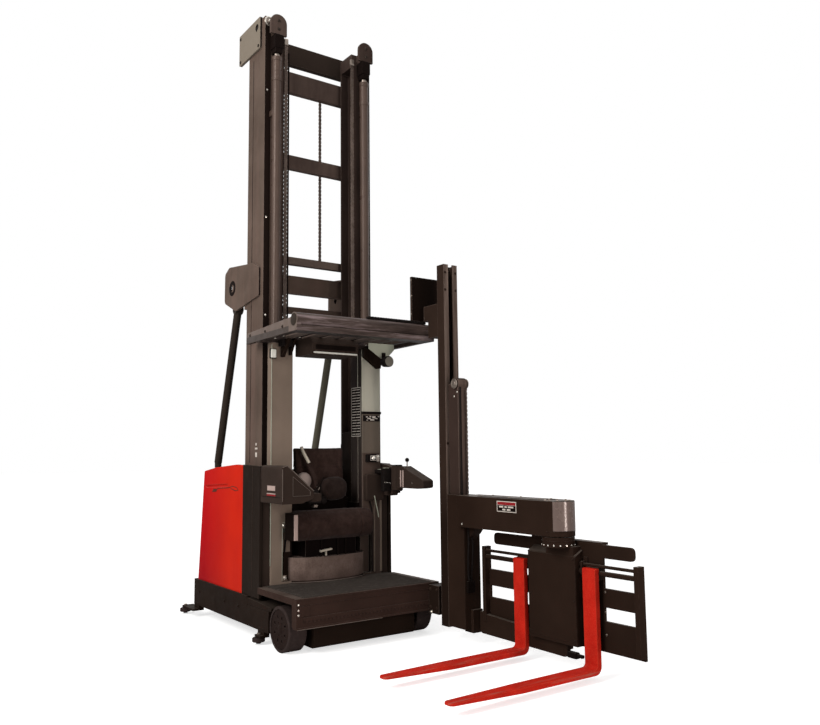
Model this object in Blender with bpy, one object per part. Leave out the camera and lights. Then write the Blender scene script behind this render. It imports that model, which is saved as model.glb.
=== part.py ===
"""Swing-reach truck: an order-picking turret truck whose fork carriage swings under a traversing arm.

Metres, +Z up, +X towards the load handler, +Y the operator's left.  Sizes are written in the truck's
own frame, with x = 0 at the load axle, and the finished truck is moved so that its box is centred.
"""
import math

import bmesh
import bpy
from mathutils import Vector

# gaps and clearances
SEAT_GAP = 0.0003           # between pieces that touch
RUN = 0.006                 # running clearance of moving pieces
GLIDE = 0.0005              # a slide shoe on its rail
PIN_PLAY = 0.001            # a pin in its bore

# overall width, load wheels and their legs
HALF_WIDTH = 0.672          # half of the truck's width over its load wheels
FRAME_INSET = 0.004         # frame sides inside the wheels' outer faces
LOAD_R = 0.176
LOAD_W = 0.150
LOAD_TREAD = 0.024
LOAD_AXLE_R = 0.028
LOAD_DISC_T = 0.030         # outer disc of the load wheel, in front of the axle's end
WHEEL_SIDE_GAP = 0.020
LEG_PLATE = 0.032
LEG_INNER_Y = HALF_WIDTH - LOAD_W - WHEEL_SIDE_GAP - LEG_PLATE
LEG_TOP = 0.312
LEG_FRONT = -0.205
FRAME_OUT_Y = HALF_WIDTH - FRAME_INSET
FRAME_BOTTOM = 0.108
FRAME_TOP = 0.345

# main mast: outer rails stand on the frame, inner rails run in them
MAST_FRONT = -0.590
RAIL_OUT_DEPTH = 0.340
RAIL_OUT_BACK = MAST_FRONT - RAIL_OUT_DEPTH
RAIL_OUT_Y = HALF_WIDTH - 0.112
RAIL_OUT_WEB = 0.015
RAIL_OUT_LIP_Y = RAIL_OUT_Y - 0.088
RAIL_IN_Y = RAIL_OUT_Y - 0.105
RAIL_IN_LIP_Y = RAIL_IN_Y - 0.093
RAIL_IN_FRONT = MAST_FRONT - 0.012
RAIL_IN_BACK = RAIL_IN_FRONT - 0.211
RAIL_IN_T = 0.015
RAIL_TOP = 5.500
RAIL_IN_TOP = 5.300
MAST_IN_FOOT = 0.400
TIE_T = 0.055
MAST_STROKE = 2.400
BRACKET_H = 0.300
BRACKET_BACK = RAIL_OUT_BACK - 0.190
BRACKET_FRONT = MAST_FRONT - 0.065
CYL_X = MAST_FRONT + 0.049
CYL_R = 0.042
CYL_Y = RAIL_OUT_LIP_Y - 0.007
ROD_R = 0.026
CYL_TOP = 5.100
CAP_TOP = 5.500
CAP_BOTTOM = CAP_TOP - 0.190
CAP_W = 0.160
EAR_INSET = 0.004
STRUT_R = 0.036
STRUT_TOP_Z = 2.900
STRUT_TOP_X = RAIL_OUT_BACK - 0.285
STAY_Y = RAIL_OUT_Y - EAR_INSET - SEAT_GAP - STRUT_R

# tractor, from the drive axle rearwards
DRIVE_X = -1.500
DRIVE_R = 0.165
DRIVE_W = 0.110
DRIVE_TREAD = 0.030
CROWN_T = 0.030
CROWN_R = 0.175
KINGPIN_R = 0.045
DECK_T = 0.022
DOME_R = 0.235
TAIL_X = DRIVE_X - 0.330
SIDE_T = 0.060
BAY_FRONT = DRIVE_X + DOME_R
AXLE_BOX_FRONT = 0.195
AXLE_BOX_BACK = -0.110
AXLE_BOX_BOTTOM = 0.036
AXLE_BOX_TOP = 0.205
ROLLER_R = 0.052
ROLLER_H = 0.032
ROLLER_Z = 0.040
ROLLER_PIN_R = 0.012
ROLLER_REAR = (TAIL_X - 0.125, HALF_WIDTH + 0.033)
ROLLER_FRONT = (-0.355, HALF_WIDTH + 0.008)

# covers
COVER_OUT = HALF_WIDTH - 0.017
COVER_T = 0.026
COVER_BACK = TAIL_X + 0.005
COVER_LEAN = 0.110             # how far the back leans forward at the rear top
COVER_FRONT = MAST_FRONT - 0.167
COVER_BOTTOM = FRAME_TOP + SEAT_GAP
COVER_TOP = 1.440
COVER_REAR_TOP = 1.300
COVER_CORNER_R = 0.070
STRUT_FOOT_X = COVER_BACK + COVER_LEAN + 0.064
STRUT_FOOT_Z = 1.400
POST_HALF = 0.022
BATTERY_BACK = STRUT_FOOT_X + 0.050
BATTERY_FRONT = RAIL_OUT_BACK - 0.230
BATTERY_HALF_Y = HALF_WIDTH - 0.152
BATTERY_TOP = 1.080

# operator platform
FLOOR_FRONT = 0.280
FLOOR_TOP = 0.441
FLOOR_T = 0.050
BEAM_DEPTH = 0.072
BEAM_BOTTOM = 0.215
RACK_OUT = 0.006            # how far the lower rack stands out of the floor's front edge
RACK_BOTTOM = 0.262
RACK_TOP = 0.302
TOOTH_H = 0.016
CHAIN_H = 0.022
FLANGE_T = 0.012
FLANGE_Y = RAIL_IN_LIP_Y - RUN
COLUMN_IN_Y = FLANGE_Y - FLANGE_T
COLUMN_OUT_Y = RAIL_OUT_Y - 0.004
COLUMN_BACK = CYL_X + CYL_R + RUN + 0.003
COLUMN_FRONT = COLUMN_BACK + 0.070
RECESS_HALF = COLUMN_IN_Y - SEAT_GAP
RECESS_BACK = MAST_FRONT - 0.075
WALL_T = 0.018
OPENING_TOP = 0.946
GUARD_TOP = 2.585
GUARD_BOTTOM = 2.475
GUARD_BACK = MAST_FRONT - 0.090
GUARD_TUBE_R = 0.058
GUARD_TUBE_X = FLOOR_FRONT - 0.065
GUARD_TUBE_Z = 2.577
PLATE_T = 0.040
CONSOLE_Z = 1.130
CONSOLE_TOP = 1.438
CONSOLE_OUT = HALF_WIDTH - 0.014
SEAT_BOTTOM = 0.795
SEAT_TOP = 1.041
SEAT_FRONT = COLUMN_FRONT + 0.172
SEAT_HALF = COLUMN_IN_Y + 0.040
BACK_TOP = 1.588

# load handler
COL_X0 = FLOOR_FRONT + 0.140
COL_X1 = COL_X0 + 0.095
COL_Y0 = 0.590
COL_Y1 = 0.735
COL_MID = 0.5 * (COL_Y0 + COL_Y1)
COL_T = 0.014
COL_TOP = 3.120
COL_BOTTOM = 0.114
SLOT_HALF = 0.023
AUX_TOP = 2.100
AUX_HALF = 0.0475
AUX_FRONT = COL_X1 + 0.133
AUX_FOOT = 0.190
ARM_BOTTOM = 0.935
ARM_TOP = 1.180
ARM_ROOT = AUX_FRONT + 0.042
ARM_HALF = 0.120
CHEEK_T = 0.022
PIVOT_X = 1.700
PIVOT_Y = 0.660
PIVOT_R = 0.040

# fork carriage, in the truck's frame at rest
FC_X0 = PIVOT_X - 0.870
FC_X1 = PIVOT_X + 0.665
FC_PLATE_Y0 = PIVOT_Y + 0.075
FC_PLATE_T = 0.020
FC_BOTTOM = 0.187
FC_SHOULDER = 0.604
FC_BAR_BOTTOM = 0.803
FC_BAR_TOP = 0.893
POST_W = 0.035
WINDOW_Z = (0.388, 0.479)
INNER_BACK = PIVOT_X - 0.380
INNER_FRONT = PIVOT_X + 0.336
ROD_Y = PIVOT_Y + 0.050
ROD_HI_Z = 0.751
ROD_HI_R = 0.0115
ROD_LO_Z = 0.704
ROD_LO_R = 0.018
COLLAR_R = 0.115
COLLAR_Z = 0.866
FORK_LENGTH = 1.266
FORK_T = 0.036
FORK_W = 0.114
FORK_FACE_Y = PIVOT_Y - 0.005
FORK_BOTTOM = 0.048
FORK_TOP = 0.736
FORK_XS = (PIVOT_X - 0.415, PIVOT_X + 0.276)

COLOURS = {
    "paint_dark": ((0.045, 0.036, 0.032, 1.0), 0.45, 0.3),
    "paint_black": ((0.020, 0.018, 0.018, 1.0), 0.50, 0.2),
    "paint_red": ((0.620, 0.020, 0.020, 1.0), 0.35, 0.0),
    "fork_red": ((0.700, 0.060, 0.030, 1.0), 0.45, 0.1),
    "grey_panel": ((0.330, 0.330, 0.310, 1.0), 0.50, 0.1),
    "tyre": ((0.030, 0.028, 0.028, 1.0), 0.70, 0.0),
    "steel": ((0.420, 0.400, 0.390, 1.0), 0.35, 0.9),
    "fabric": ((0.035, 0.032, 0.032, 1.0), 0.85, 0.0),
}


def clear_scene():
    for obj in list(bpy.data.objects):
        bpy.data.objects.remove(obj, do_unlink=True)


def material(name):
    mat = bpy.data.materials.get(name)
    if mat is None:
        mat = bpy.data.materials.new(name)
        mat.use_nodes = True
        rgba, rough, metal = COLOURS[name]
        shader = mat.node_tree.nodes["Principled BSDF"]
        shader.inputs["Base Color"].default_value = rgba
        shader.inputs["Roughness"].default_value = rough
        shader.inputs["Metallic"].default_value = metal
        mat.diffuse_color = rgba
    return mat


# primitive solids
def prism(axis, outline, lo, hi):
    """Extrude a closed outline along an axis; the outline is in the other two axes, in order."""
    lo, hi = min(lo, hi), max(lo, hi)
    bm = bmesh.new()

    def place(a, b, c):
        return {"x": (c, a, b), "y": (a, c, b), "z": (a, b, c)}[axis]

    low = [bm.verts.new(place(a, b, lo)) for a, b in outline]
    high = [bm.verts.new(place(a, b, hi)) for a, b in outline]
    bm.faces.new(low)
    bm.faces.new(high)
    count = len(outline)
    for i in range(count):
        j = (i + 1) % count
        bm.faces.new((low[i], low[j], high[j], high[i]))
    bmesh.ops.recalc_face_normals(bm, faces=bm.faces)
    return as_object(bm)


def as_object(bm):
    mesh = bpy.data.meshes.new("shape")
    bm.to_mesh(mesh)
    bm.free()
    obj = bpy.data.objects.new("shape", mesh)
    bpy.context.collection.objects.link(obj)
    return obj


def box(x0, x1, y0, y1, z0, z1):
    x0, x1 = min(x0, x1), max(x0, x1)
    y0, y1 = min(y0, y1), max(y0, y1)
    return prism("z", [(x0, y0), (x1, y0), (x1, y1), (x0, y1)], z0, z1)


def circle(a, b, r, count, start=0.0):
    step = 2.0 * math.pi / count
    return [(a + r * math.cos(start + i * step), b + r * math.sin(start + i * step)) for i in range(count)]


def rod(axis, a, b, r, lo, hi, count=24):
    return prism(axis, circle(a, b, r, count), lo, hi)


def rounded(points, radius, steps=4):
    """Outline with its corners rounded; radius is one value or one for each corner."""
    count = len(points)
    radii = [radius] * count if isinstance(radius, (int, float)) else radius
    out = []
    for i in range(count):
        here = Vector(points[i])
        before = Vector(points[i - 1]) - here
        after = Vector(points[(i + 1) % count]) - here
        if radii[i] <= 0.0:
            out.append((here.x, here.y))
            continue
        half = before.angle(after) / 2.0
        reach = min(radii[i] / math.tan(half), 0.49 * before.length, 0.49 * after.length)
        r = reach * math.tan(half)
        centre = here + (before.normalized() + after.normalized()).normalized() * (r / math.sin(half))
        first = here + before.normalized() * reach - centre
        last = here + after.normalized() * reach - centre
        turn = first.angle_signed(last)
        for k in range(steps + 1):
            angle = -turn * k / steps
            c, s = math.cos(angle), math.sin(angle)
            out.append((centre.x + first.x * c - first.y * s, centre.y + first.x * s + first.y * c))
    return out


def bar(p, q, r, count=12):
    """Round bar between two points."""
    p, q = Vector(p), Vector(q)
    along = (q - p).normalized()
    side = along.orthogonal().normalized()
    other = along.cross(side)
    bm = bmesh.new()
    rings = []
    for end in (p, q):
        ring = []
        for a, b in circle(0.0, 0.0, r, count):
            ring.append(bm.verts.new(end + side * a + other * b))
        rings.append(ring)
        bm.faces.new(ring)
    for i in range(count):
        j = (i + 1) % count
        bm.faces.new((rings[0][i], rings[0][j], rings[1][j], rings[1][i]))
    bmesh.ops.recalc_face_normals(bm, faces=bm.faces)
    return as_object(bm)


def turned(axis, a, b, profile, count=32):
    """Turn a closed (radius, along) profile about an axis through (a, b)."""
    bm = bmesh.new()
    rings = []
    for ca, sb in circle(0.0, 0.0, 1.0, count):
        ring = []
        for r, along in profile:
            u, v = a + r * ca, b + r * sb
            place = {"x": (along, u, v), "y": (u, along, v), "z": (u, v, along)}[axis]
            ring.append(bm.verts.new(place))
        rings.append(ring)
    size = len(profile)
    for i in range(count):
        one, two = rings[i], rings[(i + 1) % count]
        for k in range(size):
            m = (k + 1) % size
            bm.faces.new((one[k], one[m], two[m], two[k]))
    bmesh.ops.remove_doubles(bm, verts=bm.verts, dist=1e-6)
    bmesh.ops.recalc_face_normals(bm, faces=bm.faces)
    return as_object(bm)


# joining
def combine(base, others, operation):
    for other in others:
        mod = base.modifiers.new("joined", "BOOLEAN")
        mod.operation = operation
        mod.solver = "EXACT"
        mod.object = other


def node(name, mat, solids, cuts=(), within=(), origin=(0.0, 0.0, 0.0), smooth=30.0):
    """One sub-part: the union of its solids less its cuts, with its origin on its joint's axis."""
    base = solids[0]
    combine(base, solids[1:], "UNION")
    combine(base, cuts, "DIFFERENCE")
    combine(base, within, "INTERSECT")
    graph = bpy.context.evaluated_depsgraph_get()
    mesh = bpy.data.meshes.new_from_object(base.evaluated_get(graph))
    for helper in list(solids) + list(cuts) + list(within):
        bpy.data.objects.remove(helper, do_unlink=True)
    mesh.name = name
    bm = bmesh.new()
    bm.from_mesh(mesh)
    bmesh.ops.translate(bm, verts=bm.verts, vec=-Vector(origin))
    bmesh.ops.dissolve_limit(bm, angle_limit=0.001, verts=bm.verts, edges=bm.edges)
    bmesh.ops.triangulate(bm, faces=bm.faces)
    bm.to_mesh(mesh)
    bm.free()
    mesh.materials.clear()
    mesh.materials.append(material(mat))
    mesh.shade_smooth()
    mesh.set_sharp_from_angle(angle=math.radians(smooth))
    obj = bpy.data.objects.new(name, mesh)
    obj.location = origin
    bpy.context.collection.objects.link(obj)
    return obj


def both_sides(make):
    """Make a left and a right piece: make(side name, sign of y)."""
    for side, s in (("right", -1.0), ("left", 1.0)):
        make(side, s)


def leaned(obj, slope, z0, limit):
    """Lean the end of a solid that lies below x = limit: x grows with height by the slope."""
    for v in obj.data.vertices:
        if v.co.x < limit:
            v.co.x += slope * (v.co.z - z0)
    return obj


# tractor
def load_axle_y():
    return HALF_WIDTH - LOAD_W / 2.0


def make_chassis():
    side_in = FRAME_OUT_Y - SIDE_T
    body_front = MAST_FRONT - 0.030
    deck_z = FRAME_TOP + 0.045
    solids = [box(TAIL_X, body_front, -FRAME_OUT_Y, FRAME_OUT_Y, FRAME_BOTTOM, FRAME_TOP)]
    # the drive bay is open below, the pocket in front of it is closed but for its hand hole
    cuts = [box(TAIL_X + SIDE_T, BAY_FRONT, -side_in, side_in, FRAME_BOTTOM - 0.1, FRAME_TOP - 0.012)]
    cuts.append(box(BAY_FRONT + 0.05, body_front - 0.05, -side_in, side_in,
                    FRAME_BOTTOM + 0.02, FRAME_TOP - 0.012))
    cuts.append(box(BAY_FRONT + 0.09, body_front - 0.09, -0.30, 0.30,
                    FRAME_BOTTOM - 0.1, FRAME_BOTTOM + 0.05))
    cuts.append(rod("z", DRIVE_X, 0.0, DOME_R - 0.021, FRAME_TOP - 0.1, FRAME_TOP + 0.1, 32))
    base = node("tmp_frame", "paint_dark", solids, cuts)
    # turntable dome that carries the kingpin
    dome = [
        (KINGPIN_R + PIN_PLAY, deck_z),
        (KINGPIN_R + PIN_PLAY, deck_z + DECK_T),
        (DOME_R - 0.085, deck_z + DECK_T),
        (DOME_R, FRAME_TOP - 0.006),
        (DOME_R, FRAME_TOP - 0.013),
        (DOME_R - 0.027, FRAME_TOP - 0.013),
        (DOME_R - 0.035, deck_z),
    ]
    solids = [base, turned("z", DRIVE_X, 0.0, dome, 32)]
    for s in (-1.0, 1.0):
        solids += leg_solids(s, body_front)
        solids += roller_bracket(s, ROLLER_REAR, TAIL_X + 0.095)
        solids += roller_bracket(s, ROLLER_FRONT, ROLLER_FRONT[0] + 0.040)
        # posts that hold the mast stays, and rails under the battery
        post_y = (s * (STAY_Y - POST_HALF), s * (STAY_Y + POST_HALF))
        solids.append(box(STRUT_FOOT_X - POST_HALF, STRUT_FOOT_X + POST_HALF, post_y[0], post_y[1],
                          FRAME_TOP - 0.02, STRUT_FOOT_Z))
        rail_top = deck_z + DECK_T + 0.020 - SEAT_GAP
        solids.append(box(BATTERY_BACK, BATTERY_FRONT, s * (BATTERY_HALF_Y - 0.050), s * BATTERY_HALF_Y,
                          FRAME_TOP - 0.005, rail_top))
    # axle box between the legs
    y = LEG_INNER_Y + 0.004
    outline = [
        (AXLE_BOX_BACK, AXLE_BOX_BOTTOM),
        (AXLE_BOX_FRONT, AXLE_BOX_BOTTOM),
        (AXLE_BOX_FRONT, AXLE_BOX_TOP),
        (AXLE_BOX_BACK, AXLE_BOX_TOP),
    ]
    solids.append(prism("y", rounded(outline, [0.012, 0.03, 0.03, 0.012]), -y, y))
    # towing pad at the tail
    solids.append(box(TAIL_X - 0.022, TAIL_X + 0.01, -0.11, 0.11, 0.20, 0.31))
    node("chassis_frame", "paint_dark", solids)


def leg_solids(s, body_front):
    """Base leg with its fender strip, the axle plate and the load wheel's stub axle."""
    inner, outer = s * LEG_INNER_Y, s * FRAME_OUT_Y
    top = LEG_TOP - 0.012
    section = [(inner, FRAME_BOTTOM), (outer, FRAME_BOTTOM), (outer, top), (inner, top)]
    solids = [prism("x", rounded(section, [0, 0, 0.045, 0.01]), body_front - 0.02, LEG_FRONT)]
    strip = [
        (body_front - 0.01, LEG_TOP - 0.030),
        (LEG_FRONT + 0.045, LEG_TOP - 0.030),
        (LEG_FRONT + 0.055, LEG_TOP - 0.004),
        (LEG_FRONT, LEG_TOP + 0.002),
        (body_front - 0.01, LEG_TOP + 0.020),
    ]
    solids.append(prism("y", strip, s * (LEG_INNER_Y + 0.02), s * (FRAME_OUT_Y - 0.002)))
    plate = [
        (LEG_FRONT - 0.30, FRAME_BOTTOM + 0.003),
        (-0.02, FRAME_BOTTOM - 0.030),
        (0.055, FRAME_BOTTOM + 0.02),
        (0.055, LOAD_R + 0.06),
        (-0.02, LEG_TOP - 0.013),
        (LEG_FRONT - 0.30, LEG_TOP - 0.013),
    ]
    face = LEG_INNER_Y + LEG_PLATE
    axle_end = HALF_WIDTH - LOAD_DISC_T - RUN
    solids.append(prism("y", rounded(plate, [0, 0.03, 0.03, 0.04, 0.04, 0]), s * LEG_INNER_Y, s * face))
    solids.append(rod("y", 0.0, LOAD_R, LOAD_AXLE_R, s * (face - 0.01), s * axle_end, 20))
    solids.append(rod("y", 0.0, LOAD_R, LOAD_AXLE_R + 0.022, s * (face - 0.01), s * (face + 0.006), 20))
    return solids


def roller_bracket(s, place, back):
    """Arm over a side guide roller, with the pin that it turns on."""
    x, y = place
    top = ROLLER_Z + ROLLER_H / 2.0 + RUN
    foot = ROLLER_Z - ROLLER_H / 2.0 - RUN
    x0, x1 = min(x, back) - 0.030, max(x, back) + 0.030
    arm_y = (s * (FRAME_OUT_Y - 0.050), s * (y + 0.022))
    solids = [box(x0, x1, arm_y[0], arm_y[1], top, top + 0.018)]
    rise0 = x1 - 0.110
    solids.append(box(rise0, x1, arm_y[0], s * (FRAME_OUT_Y + 0.002), top + 0.002, FRAME_BOTTOM + 0.025))
    solids.append(rod("z", x, s * y, ROLLER_PIN_R, foot - 0.006, top + 0.030, 16))
    solids.append(rod("z", x, s * y, ROLLER_PIN_R + 0.008, foot - 0.008, foot, 16))
    return solids


def make_guide_rollers():
    """Rollers that touch the aisle's guide rails, on upright pins at the four corners."""
    for end, place in (("rear", ROLLER_REAR), ("front", ROLLER_FRONT)):
        for side, s in (("right", -1.0), ("left", 1.0)):
            x, y = place[0], s * place[1]
            z0, z1 = ROLLER_Z - ROLLER_H / 2.0, ROLLER_Z + ROLLER_H / 2.0
            c = 0.004
            bore = ROLLER_PIN_R + PIN_PLAY
            profile = [
                (bore, z0), (ROLLER_R - c, z0), (ROLLER_R, z0 + c), (ROLLER_R, z1 - c),
                (ROLLER_R - c, z1), (bore, z1),
            ]
            node("guide_roller_" + end + "_" + side, "tyre", [turned("z", x, y, profile, 28)],
                 origin=(x, y, ROLLER_Z))


def make_drive_unit():
    top = FRAME_TOP + 0.045 - RUN
    gap = DRIVE_W / 2.0 + 0.012
    solids = [rod("z", DRIVE_X, 0.0, CROWN_R, top - CROWN_T, top, 32)]
    solids.append(rod("z", DRIVE_X, 0.0, KINGPIN_R, top - 0.01, top + RUN + DECK_T + 0.004, 24))
    cheek = [(DRIVE_X - 0.07, top - 0.01), (DRIVE_X + 0.07, top - 0.01), (DRIVE_X + 0.05, 0.10),
             (DRIVE_X - 0.05, 0.10)]
    solids.append(prism("y", rounded(cheek, [0, 0, 0.045, 0.045]), gap, gap + 0.022))
    solids.append(rod("y", DRIVE_X, DRIVE_R, 0.072, gap + 0.01, gap + 0.055, 24))
    solids.append(rod("y", DRIVE_X, DRIVE_R, 0.030, -DRIVE_W / 2.0 + 0.02, gap + 0.02, 20))
    node("drive_fork", "paint_black", solids, origin=(DRIVE_X, 0.0, DRIVE_R))
    tread_ring("drive_wheel", DRIVE_X, 0.0, DRIVE_R, DRIVE_W, DRIVE_TREAD)
    half, rim, bore = DRIVE_W / 2.0, DRIVE_R - DRIVE_TREAD, 0.030 + PIN_PLAY
    dish, lip, hub = 0.30 * DRIVE_W, 0.88 * rim, bore + 0.028
    profile = [
        (bore, -half + 0.012), (hub, -half + 0.012), (hub + 0.004, -half + dish), (lip - 0.006,
                                                                                   -half + dish),
        (lip, -half + 0.004), (rim, -half + 0.004), (rim, half - 0.004), (lip, half - 0.004),
        (lip - 0.006, half - dish), (hub + 0.004, half - dish), (hub, half - 0.012), (bore, half - 0.012),
    ]
    node("drive_wheel_hub", "paint_black", [turned("y", DRIVE_X, DRIVE_R, profile, 36)],
         origin=(DRIVE_X, 0.0, DRIVE_R))


def tread_ring(name, x, y, r, width, tread):
    half, rim, c = width / 2.0, r - tread, 0.006
    profile = [
        (rim + SEAT_GAP, y - half), (r - c, y - half), (r, y - half + c),
        (r, y + half - c), (r - c, y + half), (rim + SEAT_GAP, y + half),
    ]
    node(name + "_tread", "tyre", [turned("y", x, r, profile, 36)], origin=(x, y, r))


def make_load_wheels():
    """Load wheels whose outer face is a flat disc with eight oval holes."""
    def one(side, s):
        y, r = s * load_axle_y(), LOAD_R
        tread_ring("load_wheel_" + side, 0.0, y, r, LOAD_W, LOAD_TREAD)
        rim = r - LOAD_TREAD
        outer = s * (HALF_WIDTH - 0.004)
        inner = s * (HALF_WIDTH - LOAD_W + 0.004)
        disc_in = s * (HALF_WIDTH - LOAD_DISC_T)
        bore = LOAD_AXLE_R + PIN_PLAY
        hub = bore + 0.022
        profile = [
            (bore, disc_in), (0.0, disc_in), (0.0, outer), (rim - 0.005, outer), (rim, outer - s * 0.005),
            (rim, inner), (rim - 0.014, inner), (rim - 0.018, disc_in),
            (hub, disc_in), (hub, inner), (bore, inner),
        ]
        cuts = []
        for k in range(8):
            a = 2.0 * math.pi * (k + 0.5) / 8
            c, s8 = math.cos(a), math.sin(a)
            oval = []
            for u, v in circle(0.0, 0.0, 1.0, 14):
                radial, across = 0.620 * rim + 0.0155 * u, 0.0105 * v
                oval.append((radial * c - across * s8, r + radial * s8 + across * c))
            cuts.append(prism("y", oval, disc_in - s * 0.01, outer + s * 0.01))
        node("load_wheel_" + side + "_hub", "paint_black", [turned("y", 0.0, r, profile, 36)], cuts,
             origin=(0.0, y, r))
    both_sides(one)


def make_battery():
    z0 = FRAME_TOP + 0.045 + DECK_T + 0.020
    node("battery", "paint_black", [box(BATTERY_BACK, BATTERY_FRONT, -BATTERY_HALF_Y, BATTERY_HALF_Y,
                                        z0, BATTERY_TOP)])


def make_covers():
    r = COVER_CORNER_R
    t = COVER_T
    lean = COVER_LEAN / (COVER_REAR_TOP - COVER_BOTTOM)
    limit = 0.5 * (COVER_BACK + COVER_FRONT)
    out = [(COVER_FRONT, -COVER_OUT), (COVER_BACK, -COVER_OUT),
           (COVER_BACK, COVER_OUT), (COVER_FRONT, COVER_OUT)]
    inn = [(COVER_FRONT + 0.1, -COVER_OUT + t), (COVER_BACK + t, -COVER_OUT + t),
           (COVER_BACK + t, COVER_OUT - t), (COVER_FRONT + 0.1, COVER_OUT - t)]
    shell = leaned(prism("z", rounded(out, [0, r, r, 0], 5), COVER_BOTTOM, COVER_TOP),
                   lean, COVER_BOTTOM, limit)
    hollow = leaned(prism("z", rounded(inn, [0, r - t, r - t, 0], 5), COVER_BOTTOM - 0.1, COVER_TOP + 0.1),
                    lean, COVER_BOTTOM, limit)
    # sloping top, highest at the front
    rear = COVER_BACK + COVER_LEAN
    slope = [
        (rear - 0.2, COVER_REAR_TOP),
        (rear, COVER_REAR_TOP),
        (rear + 0.022, COVER_REAR_TOP + 0.036),
        (rear + 0.060, COVER_REAR_TOP + 0.067),
        (rear + 0.350, COVER_REAR_TOP + 0.105),
        (COVER_FRONT - 0.14, COVER_TOP - 0.004),
        (COVER_FRONT + 0.1, COVER_TOP - 0.012),
        (COVER_FRONT + 0.1, COVER_TOP + 0.2),
        (rear - 0.2, COVER_TOP + 0.2),
    ]
    cut = prism("y", slope, -1.0, 1.0)
    # recessed handle slots, one each side
    slots = []
    for s in (-1.0, 1.0):
        x0, x1 = rear + 0.112, COVER_FRONT - 0.323
        line = rounded([(x0, 1.235), (x0, 1.215), (x1, 1.235), (x1, 1.262)], 0.009, 2)
        slots.append(prism("y", line, s * (COVER_OUT - 0.010), s * (COVER_OUT + 0.05)))
    node("tractor_cover", "paint_red", [shell], [hollow, cut] + slots)
    # dark hood between the cover's walls, behind the mast
    g = t + SEAT_GAP
    hood_back = COVER_BACK + g
    hood_front = RAIL_OUT_BACK - 0.075
    top = COVER_REAR_TOP
    hood = [
        (hood_back, top - 0.040), (rear + 0.060, top + 0.022), (rear + 0.350, top + 0.070),
        (hood_front, top + 0.080),
        (hood_front, top - 0.090), (hood_front - 0.020, top - 0.090), (hood_front - 0.020, top + 0.058),
        (rear + 0.350, top + 0.048), (rear + 0.060, top), (hood_back, top - 0.062),
    ]
    y = COVER_OUT - g
    slots = []
    for s in (-1.0, 1.0):
        slots.append(box(STRUT_FOOT_X - 0.2, STRUT_FOOT_X + 0.075, s * (STAY_Y - STRUT_R - RUN),
                         s * COVER_OUT, top - 0.3, top + 0.3))
    inside = [(COVER_FRONT + 0.1, -COVER_OUT + g), (hood_back, -COVER_OUT + g),
              (hood_back, COVER_OUT - g), (COVER_FRONT + 0.1, COVER_OUT - g)]
    room = leaned(prism("z", rounded(inside, [0, r - g, r - g, 0], 5), COVER_BOTTOM, COVER_TOP + 0.1),
                  lean, COVER_BOTTOM, limit)
    node("hood", "paint_black", [prism("y", hood, -y, y)], slots, [room])


def make_shrouds():
    """Dark covers beside the mast, in front of the red ones."""
    def one(side, s):
        outline = [
            (COVER_FRONT + SEAT_GAP, COVER_BOTTOM),
            (COLUMN_FRONT + 0.008, COVER_BOTTOM),
            (COLUMN_FRONT + 0.008, COVER_TOP - 0.016),
            (COVER_FRONT + SEAT_GAP, COVER_TOP - 0.004),
        ]
        y = s * (COVER_OUT - COVER_T)
        node("mast_shroud_" + side, "paint_black",
             [prism("y", rounded(outline, [0, 0.01, 0.015, 0]), s * COVER_OUT, y)])
    both_sides(one)


# main mast
def channel(s, web_y, lip_y, x0, x1, t, z0, z1):
    """C-channel rail, web outboard, open towards the truck's middle."""
    outline = [
        (x0, s * lip_y), (x0, s * web_y), (x1, s * web_y), (x1, s * lip_y),
        (x1 - t, s * lip_y), (x1 - t, s * (web_y - t)), (x0 + t, s * (web_y - t)), (x0 + t, s * lip_y),
    ]
    return prism("z", outline, z0, z1)


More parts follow.
